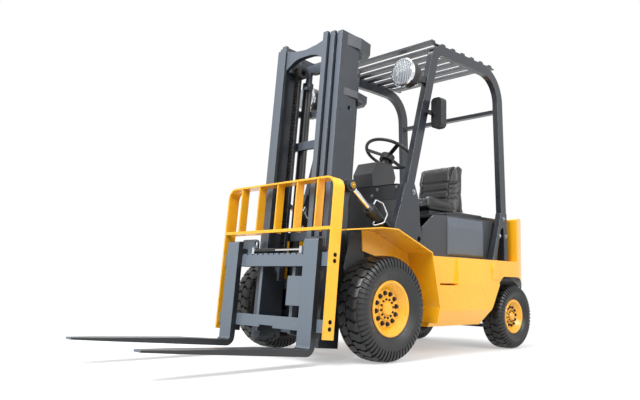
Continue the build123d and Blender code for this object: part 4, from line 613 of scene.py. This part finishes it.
wheelSpecs = {
    "drive": {"radius": 0.335, "width": 0.214, "flange": 0.178, "bead": 0.1525, "lip": 0.0735, "pitches": 30,
              "groove": 0.013, "nutCircle": 0.098, "nuts": 12, "nutSize": 0.021, "nutFace": 0.036,
              "studCircle": 0.059, "studs": 12, "studSize": 0.011, "studFace": 0.044},
    "steer": {"radius": 0.254, "width": 0.186, "flange": 0.135, "bead": 0.1115, "lip": 0.0585, "pitches": 26,
              "groove": 0.011, "nutCircle": 0.073, "nuts": 12, "nutSize": 0.016, "nutFace": 0.035,
              "studCircle": 0.043, "studs": 12, "studSize": 0.009, "studFace": 0.043},
}


# the tread, as shares of the half section, of one pitch or of the groove's depth
tread = {"barShare": (0.012, 0.31), "barWidth": 0.41, "zigzag": 0.30, "ribShare": (0.325, 0.60),
         "ribWidth": 0.165, "ribStep": 0.25, "fadeFrom": 0.48, "fadeOver": 0.14, "leastDepth": 0.12,
         "foot": 1.02, "flatTop": 0.92}


def tyreProfile(spec):
    # half section from the crown's middle to the bead, as radius and offset along the axle
    half = spec["width"] / 2
    wall = spec["radius"] - spec["flange"]
    corner = [
        (spec["radius"], 0.0), (spec["radius"] - 0.001, half * 0.35),
        (spec["radius"] - wall * 0.02, half * 0.62),
        (spec["radius"] - wall * 0.10, half * 0.84), (spec["radius"] - wall * 0.26, half * 0.965),
        (spec["radius"] - wall * 0.52, half), (spec["radius"] - wall * 0.80, half * 0.87),
        (spec["flange"] + 0.004, spec["lip"] + 0.004), (spec["bead"], spec["lip"]),
    ]
    for sweep in range(2):
        finer = [corner[0]]
        for (r0, y0), (r1, y1) in zip(corner, corner[1:]):
            finer.append((r0 * 0.75 + r1 * 0.25, y0 * 0.75 + y1 * 0.25))
            finer.append((r0 * 0.25 + r1 * 0.75, y0 * 0.25 + y1 * 0.75))
        corner = finer + [corner[-1]]
    return corner


def along(profile, share):
    # point and outward normal at a share of the half section's length
    lengths = [math.dist(a, b) for a, b in zip(profile, profile[1:])]
    want = share * sum(lengths)
    for (a, b), length in zip(zip(profile, profile[1:]), lengths):
        if want <= length or (a, b) == (profile[-2], profile[-1]):
            k = want / length
            way = ((b[0] - a[0]) / length, (b[1] - a[1]) / length)
            return (a[0] + (b[0] - a[0]) * k, a[1] + (b[1] - a[1]) * k), (way[1], -way[0])
        want -= length


def turnedRing(shape, section, segments):
    rings = []
    for i in range(segments):
        a = math.tau * i / segments
        rings.append([shape.verts.new((r * math.sin(a), y, r * math.cos(a))) for r, y in section])
    for i in range(segments):
        here, after = rings[i], rings[(i + 1) % segments]
        for j in range(len(section) - 1):
            shape.faces.new((here[j], here[j + 1], after[j + 1], after[j]))


def carcass(spec):
    # the tyre without its tread: grooves' floor, walls with two fine rings, beads
    half = tyreProfile(spec)
    outer = []
    for r, y in half:
        share = (spec["radius"] - r) / (spec["radius"] - spec["flange"])
        drop = spec["groove"] * max(0.0, min(1.0, (0.50 - share) / 0.12))
        ring = 0.0016 if 0.60 < share < 0.66 else 0.0
        outer.append((r - drop * (1 - share), y - drop * share + ring))
    section = [(r, -y) for r, y in reversed(outer)] + outer[1:]
    section.append(section[0])
    return meshFrom("carcass", lambda shape: turnedRing(shape, section, 120))


def lugBar(spec, shares, centreLine, halfWidth, steps, side):
    # one tread block that follows the half section between two shares of its length
    half = tyreProfile(spec)
    first, last = shares

    def build(shape):
        rows = []
        for i in range(steps + 1):
            share = first + (last - first) * i / steps
            (r, y), (nr, ny) = along(half, share)
            middle = centreLine(share) / spec["radius"]
            fade = min(1.0, max(tread["leastDepth"], 1.0 - (share - tread["fadeFrom"]) / tread["fadeOver"]))
            foot = tread["foot"] * spec["groove"] * fade
            row = []
            for edge, sink in ((-1, foot), (-tread["flatTop"], 0.0), (tread["flatTop"], 0.0), (1, foot)):
                a = middle + edge * halfWidth / spec["radius"]
                rr = r - nr * sink
                yy = y - ny * sink
                row.append(shape.verts.new((rr * math.sin(a), side * yy, rr * math.cos(a))))
            rows.append(row)
        for low, high in zip(rows, rows[1:]):
            for j in range(3):
                shape.faces.new((low[j], low[j + 1], high[j + 1], high[j]))
        shape.faces.new(rows[0])
        shape.faces.new(rows[-1])
    return meshFrom("lugBar", build)


def treadPitch(spec):
    # one pitch: a zigzag bar and two shoulder ribs on each side, the sides half a pitch apart
    pitch = math.tau * spec["radius"] / spec["pitches"]
    shapes = []
    for side, shift in ((1, 0.0), (-1, 0.5)):
        def zigzag(share, shift=shift):
            k = share / tread["zigzag"]
            return pitch * (shift + tread["zigzag"] * (abs((k * 2 + 0.5) % 2 - 1) - 0.5))
        shapes.append(lugBar(spec, tread["barShare"], zigzag, pitch * tread["barWidth"], 9, side))
        for i in (-1, 1):
            def rib(share, i=i, shift=shift):
                return pitch * (shift + i * tread["ribStep"])
            shapes.append(lugBar(spec, tread["ribShare"], rib, pitch * tread["ribWidth"], 8, side))
    return joined("treadPitch", shapes)


def dressWheel(kind, side):
    spec = wheelSpecs[kind]
    sign = 1 if side == "left" else -1
    tyreNode = kind + "_tyre_" + side
    body = {"drive": "drive_wheel_", "steer": "steer_wheel_"}[kind] + side
    hand = Matrix.Diagonal((1, sign, 1, 1))
    seat = Matrix.Translation(boxCentre(tyreNode)) @ hand
    blocks = grow(tyreNode + "Blocks", "ring", treadPitch(spec),
                  {"Count": spec["pitches"], "Start": 0.0, "Centre": (0, 0, 0)}, finish["tyreRubber"])
    mesh = moved(joined(tyreNode + "Tread", [carcass(spec), blocks]), seat)
    tyre = meshPiece(kind + "Tyre" + side.capitalize(), mesh, finish["tyreRubber"], smooth=False)
    smoothWalls(tyre.data)
    settle(tyre, body)
    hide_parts(tyreNode)

    rings = []
    for label in ("nut", "stud"):
        across = spec[label + "Size"]
        bolt = hexBolt(across, across * 0.75, 1.5)
        stand = Matrix.Translation((0, spec[label + "Face"], spec[label + "Circle"]))
        bolt.transform(stand @ Matrix.Rotation(-math.pi / 2, 4, "X"))
        spread = {"Count": spec[label + "s"], "Start": 0.13, "Centre": (0, 0, 0)}
        rings.append(grow(tyreNode + label, "ring", bolt, spread, finish["chainSteel"]))
    mesh = moved(joined("wheelNuts", rings), seat)
    nuts = meshPiece(kind + "Nuts" + side.capitalize(), mesh, finish["chainSteel"], smooth=False)
    settle(nuts, body)


def smoothWalls(mesh):
    # smooth across gentle bends, crisp at the block edges
    for face in mesh.polygons:
        face.use_smooth = True
    mesh.set_sharp_from_angle(angle=math.radians(32))


for kind in wheelSpecs:
    for side in ("left", "right"):
        dressWheel(kind, side)
print("wheels dressed")


# Places: the truck from the drive axle, and the mast's own frame, upright before it leans back

axle = boxCentre("drive_tyre_left")
mastLean = math.radians(4.5)
truckFrame = Matrix.Translation((axle.x, 0, 0))
mastFrame = truckFrame @ Matrix.Translation((0, 0, axle.z)) @ Matrix.Rotation(-mastLean, 4, "Y")
mastFrame = mastFrame @ Matrix.Translation((0, 0, -axle.z))


def bothSides(spots):
    return [((x, side * y, z), (wx, side * wy, wz)) for (x, y, z), (wx, wy, wz) in spots for side in (1, -1)]


# Bolts: each group stands on one face of what it holds

leftward = (0, 1, 0)
forward = (1, 0, 0)
boltGroups = {
    "backrestBolts": {
        "body": "carriage", "frame": mastFrame, "across": 0.014, "height": 0.009, "metal": "boltBlack",
        "spots": bothSides([((0.474, 0.537, z), leftward) for z in (0.619, 0.582, 0.223, 0.182)])},
    "guardFootBolts": {
        "body": "chassis", "frame": truckFrame, "across": 0.020, "height": 0.012, "metal": "zincSteel",
        "spots": bothSides([((-0.322, 0.518, 1.120), leftward)])},
    "rearLegBolts": {
        "body": "chassis", "frame": truckFrame, "across": 0.018, "height": 0.011, "metal": "zincSteel",
        "spots": bothSides([((x, 0.518, z), leftward)
                            for x, z in ((-1.490, 1.030), (-1.428, 0.890), (-1.519, 0.890))])},
    "bulkheadBolts": {
        "body": "chassis", "frame": truckFrame, "across": 0.013, "height": 0.008, "metal": "zincSteel",
        "spots": bothSides([((-0.2458, 0.255, 1.148), forward), ((-0.2464, 0.430, 1.154), forward),
                            ((-0.2423, 0.208, 1.109), forward)])},
    "sheaveNuts": {
        "body": "mast_inner", "frame": mastFrame, "across": 0.022, "height": 0.012, "metal": "boltBlack",
        "spots": bothSides([((0.265, 0.132, 1.985), (0, -1, 0))])},
}


def fitBolts(name, group):
    points = pointMesh(name + "Points", group["spots"])
    metal = finish[group["metal"]]
    mesh = grow(name, "points", hexBolt(group["across"], group["height"]), {"Size": 1.0}, metal, points)
    bolts = meshPiece(name, moved(mesh, group["frame"]), metal, smooth=False)
    settle(bolts, group["body"])


for name, group in boltGroups.items():
    fitBolts(name, group)
print("bolts fitted:", len(boltGroups), "groups")


# Leaf chains: packs of figure-eight plates on riveted pins, one pair of pitches repeated up the mast

leafChain = {"x": 0.310, "y": 0.150, "foot": 0.562, "top": 1.985, "pitch": 0.0254, "plate": 0.0032,
             "gap": 0.0004, "waist": 0.0085, "eye": 0.0115, "pin": 0.0045, "outer": 4, "inner": 3,
             "travel": 1.35}


def leafPlate(spec, y, z):
    # one plate, its two round eyes joined by a narrower waist
    def build(shape):
        outline = []
        steps = 10
        for middle, start in ((z, math.pi), (z + spec["pitch"], 0.0)):
            for i in range(steps + 1):
                a = start + math.pi * i / steps
                outline.append((spec["eye"] * math.cos(a), middle + spec["eye"] * math.sin(a)))
            outline.append((math.copysign(spec["waist"], outline[-1][0]), z + spec["pitch"] / 2))
        near = [shape.verts.new((x, y, h)) for x, h in outline]
        far = [shape.verts.new((x, y + spec["plate"], h)) for x, h in outline]
        shape.faces.new(near)
        shape.faces.new(far)
        for i in range(len(outline)):
            k = (i + 1) % len(outline)
            shape.faces.new((near[i], near[k], far[k], far[i]))
    return meshFrom("leafPlate", build)


def chainPair(spec):
    step = spec["plate"] + spec["gap"]
    plates = []
    for count, z in ((spec["outer"], 0.0), (spec["inner"], spec["pitch"])):
        for i in range(count):
            spread = (i - (count - 1) / 2) * 2 * step
            plates.append(leafPlate(spec, spread - spec["plate"] / 2, z))
    reach = spec["outer"] * step + 0.002
    for z in (0.0, spec["pitch"]):
        section = [(0.0, -reach), (spec["pin"], -reach), (spec["pin"], reach), (0.0, reach)]
        pin = meshFrom("chainPin", lambda shape: turnedRing(shape, section, 10))
        pin.transform(Matrix.Translation((0, 0, z)))
        plates.append(pin)
    return joined("chainPair", plates)


def hangChains(spec):
    rows = []
    count = int((spec["top"] - spec["foot"]) / (2 * spec["pitch"]))
    for side in (1, -1):
        start = (spec["x"], side * spec["y"], spec["foot"] + spec["eye"])
        spread = {"Count": count, "First": start, "Turn": (0, 0, 0), "Step": (0, 0, 2 * spec["pitch"])}
        rows.append(grow("chainRow", "row", chainPair(spec), spread, finish["chainSteel"]))
    mesh = moved(joined("leafChains", rows), mastFrame)
    chains = meshPiece("leafChains", mesh, finish["chainSteel"], smooth=False)
    settle(chains, "mast_inner")
    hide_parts("lift_chains")
    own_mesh(chains)


hangChains(leafChain)
print("chains hung")


# Seat: the two upholstered pieces, plumped by air pressure inside their covers, then sewn in

seatPieces = {
    "seat_cushion": {"name": "seatCushion", "voxel": 0.006, "inset": 0.005, "cap": 0.022, "held": 0.030,
                     "seams": [("x", -0.20), ("x", -0.12), ("x", -0.04)], "face": (0, 0, 1)},
    "seat_back": {"name": "seatBack", "voxel": 0.006, "inset": 0.005, "cap": 0.022, "held": 0.030,
                  "seams": [("z", 0.16), ("z", 0.23), ("z", 0.30)], "face": (1, 0, 0)},
}
padHalf = 0.138
air = {"pressure": 4.0, "frames": 20}
# how deep a seam draws in and how wide its valley is
stitching = {"channel": (0.010, 0.009), "roll": (0.012, 0.010), "grip": 1.6}


def remeshed(name, mesh, voxel):
    piece = bpy.data.objects.new(name, mesh)
    scene.collection.objects.link(piece)
    modifier = piece.modifiers.new("even", "REMESH")
    modifier.mode = "VOXEL"
    modifier.voxel_size = voxel
    view = bpy.context.evaluated_depsgraph_get()
    even = bpy.data.meshes.new_from_object(piece.evaluated_get(view), depsgraph=view)
    bpy.data.objects.remove(piece)
    return even


def blownUp(name, mesh, spec):
    # air pressure in the cover; what rests on the base is held
    piece = bpy.data.objects.new(name, mesh)
    scene.collection.objects.link(piece)
    low = min(v.co.z for v in mesh.vertices)
    held = piece.vertex_groups.new(name="held")
    held.add([v.index for v in mesh.vertices if v.co.z < low + spec["held"]], 1.0, "REPLACE")
    modifier = piece.modifiers.new("air", "CLOTH")
    cloth = modifier.settings
    cloth.use_pressure = True
    cloth.uniform_pressure_force = air["pressure"]
    cloth.effector_weights.gravity = 0.0
    cloth.vertex_group_mass = "held"
    for number in range(1, air["frames"] + 1):
        scene.frame_set(number)
    view = bpy.context.evaluated_depsgraph_get()
    full = bpy.data.meshes.new_from_object(piece.evaluated_get(view), depsgraph=view)
    scene.frame_set(1)
    bpy.data.objects.remove(piece)
    for before, after in zip(mesh.vertices, full.vertices):
        step = after.co - before.co
        if step.length > spec["cap"]:
            after.co = before.co + step.normalized() * spec["cap"]
    return full


def valley(gap, depth, width):
    return depth * math.exp(-(gap / width) ** 2)


def sewn(mesh, node, spec):
    # drawn-in channels across the middle, and one along each side roll
    low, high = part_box(node)
    facing = Vector(spec["face"])
    axisOf = {"x": 0, "z": 2}
    for v in mesh.vertices:
        front = max(0.0, v.normal.dot(facing))
        pull = 0.0
        if abs(v.co.y) < padHalf:
            for axis, place in spec["seams"]:
                edge = high[0] if axis == "x" else low[2]
                gap = v.co[axisOf[axis]] - (edge + place)
                pull = max(pull, valley(gap, *stitching["channel"]))
        gap = abs(v.co.y) - padHalf
        pull = max(pull, valley(gap, *stitching["roll"]))
        v.co -= v.normal * pull * min(1.0, front * stitching["grip"])
    return mesh


def upholster(node, spec):
    mesh = nodes[node].data.copy()
    mesh.transform(nodes[node].matrix_world)
    low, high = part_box(node)
    middle = (Vector(low) + Vector(high)) / 2
    size = Vector(high) - Vector(low)
    shrink = Matrix.Diagonal([1 - 2 * spec["inset"] / side for side in size] + [1.0])
    mesh.transform(Matrix.Translation(middle) @ shrink @ Matrix.Translation(-middle))
    even = remeshed(spec["name"], mesh, spec["voxel"])
    full = blownUp(spec["name"], even.copy(), spec)
    piece = meshPiece(spec["name"], sewn(full, node, spec), finish["seatVinyl"])
    settle(piece, "seat_lid")
    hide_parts(node)


for node, spec in seatPieces.items():
    upholster(node, spec)
print("seat upholstered")


# Turned trim: lamp bezels, tilt pins, horn pad

def turnedPiece(name, sections, material, body):
    # each section is a profile of radius and height, and the frame whose Y its axis follows
    rings = []
    for profile, stand in sections:
        ring = meshFrom(name, lambda shape: turnedRing(shape, profile, 48))
        rings.append(moved(ring, stand))
    piece = meshPiece(name, joined(name, rings), finish[material])
    piece.data.set_sharp_from_angle(angle=math.radians(35))
    return settle(piece, body)


alongX = Matrix.Rotation(-math.pi / 2, 4, "Z")
alongZ = Matrix.Rotation(math.pi / 2, 4, "X")
lamp = {
    "x": -0.225, "y": 0.495, "z": 1.950, "radius": 0.096,
    "bezel": [(-0.010, -0.004), (0.003, -0.012), (0.005, 0.002), (0.001, 0.009), (-0.008, 0.011),
              (-0.010, -0.004)],
}
tilt = {
    "x": 0.205, "z": 1.110, "eyeY": 0.356, "capY": 0.388,
    "pin": [(0.0, 0.0), (0.022, 0.0), (0.022, 0.003), (0.019, 0.006), (0.008, 0.006), (0.006, 0.011),
            (0.0, 0.011)],
    "eye": [(0.0225, -0.0203), (0.0402, -0.0203), (0.0412, -0.0192), (0.0412, 0.0192), (0.0402, 0.0203),
            (0.0225, 0.0203), (0.0225, -0.0203)],
}
shift = {
    "rise": 0.002,
    "barrel": [(0.0, -0.226), (0.0142, -0.226), (0.0146, -0.223), (0.0146, -0.024), (0.0136, -0.0195),
               (0.0, -0.0195)],
}
horn = {
    "x": -0.670, "z": 1.505, "lean": -28.0, "drop": 0.022,
    "pad": [(0.0, 0.016), (0.020, 0.015), (0.034, 0.011), (0.046, 0.004), (0.050, 0.0), (0.0, 0.0)],
}

bezel = [(lamp["radius"] + r, x) for r, x in lamp["bezel"]]
lampSpots = [(lamp["x"], side * lamp["y"], lamp["z"]) for side in (1, -1)]
lampStands = [truckFrame @ Matrix.Translation(spot) @ alongX for spot in lampSpots]
turnedPiece("lampBezels", [(bezel, stand) for stand in lampStands], "hardChrome", "chassis")

pinEnds = [([(r, side * y) for r, y in tilt["pin"]],
            mastFrame @ Matrix.Translation((tilt["x"], side * tilt["capY"], tilt["z"]))) for side in (1, -1)]
turnedPiece("tiltPins", pinEnds, "pinBrass", "mast_outer")

eyes = [(tilt["eye"], mastFrame @ Matrix.Translation((tilt["x"], side * tilt["eyeY"], tilt["z"])))
        for side in (1, -1)]
turnedPiece("tiltEyes", eyes, "chassisBlack", "tilt_rods")

shiftLine = boxCentre("shift_rod") + Vector((0, 0, shift["rise"]))
shiftStand = Matrix.Translation((shiftLine.x, 0, shiftLine.z))
turnedPiece("shiftBarrel", [(shift["barrel"], shiftStand)], "chassisBlack", "carriage")

columnStand = truckFrame @ Matrix.Translation((horn["x"], 0, horn["z"]))
columnStand = columnStand @ Matrix.Rotation(math.radians(horn["lean"]), 4, "Y")
hornStand = columnStand @ Matrix.Translation((0, 0, -horn["drop"])) @ alongZ
turnedPiece("hornPad", [(horn["pad"], hornStand)], "blackPlastic", "steering_wheel")
print("trim fitted")


# Mirror glass in the back of its case

mirror = {"place": (-0.560, 0.577, 1.705), "width": 0.076, "height": 0.204, "corner": 0.024, "thick": 0.003,
          "taper": 0.985}


def roundPlate(spec):
    # a plate in Y and Z with round corners, its face towards -X
    radius = spec["corner"]
    flat = (spec["width"] / 2 - radius, spec["height"] / 2 - radius)

    def build(shape):
        outline = []
        for cy, cz, start in ((1, 1, 0), (-1, 1, 1), (-1, -1, 2), (1, -1, 3)):
            for i in range(9):
                a = math.pi / 2 * (start + i / 8)
                outline.append((cy * flat[0] + radius * math.cos(a), cz * flat[1] + radius * math.sin(a)))
        back = [shape.verts.new((0, y, z)) for y, z in outline]
        face = [shape.verts.new((-spec["thick"], y * spec["taper"], z * spec["taper"])) for y, z in outline]
        shape.faces.new(back)
        shape.faces.new(face)
        for i in range(len(outline)):
            k = (i + 1) % len(outline)
            shape.faces.new((back[i], back[k], face[k], face[i]))
    return meshFrom("roundPlate", build)


glass = moved(roundPlate(mirror), truckFrame @ Matrix.Translation(mirror["place"]))
settle(meshPiece("mirrorGlass", glass, finish["hardChrome"], smooth=False), "chassis")
print("mirror glazed")

print("pieces done")
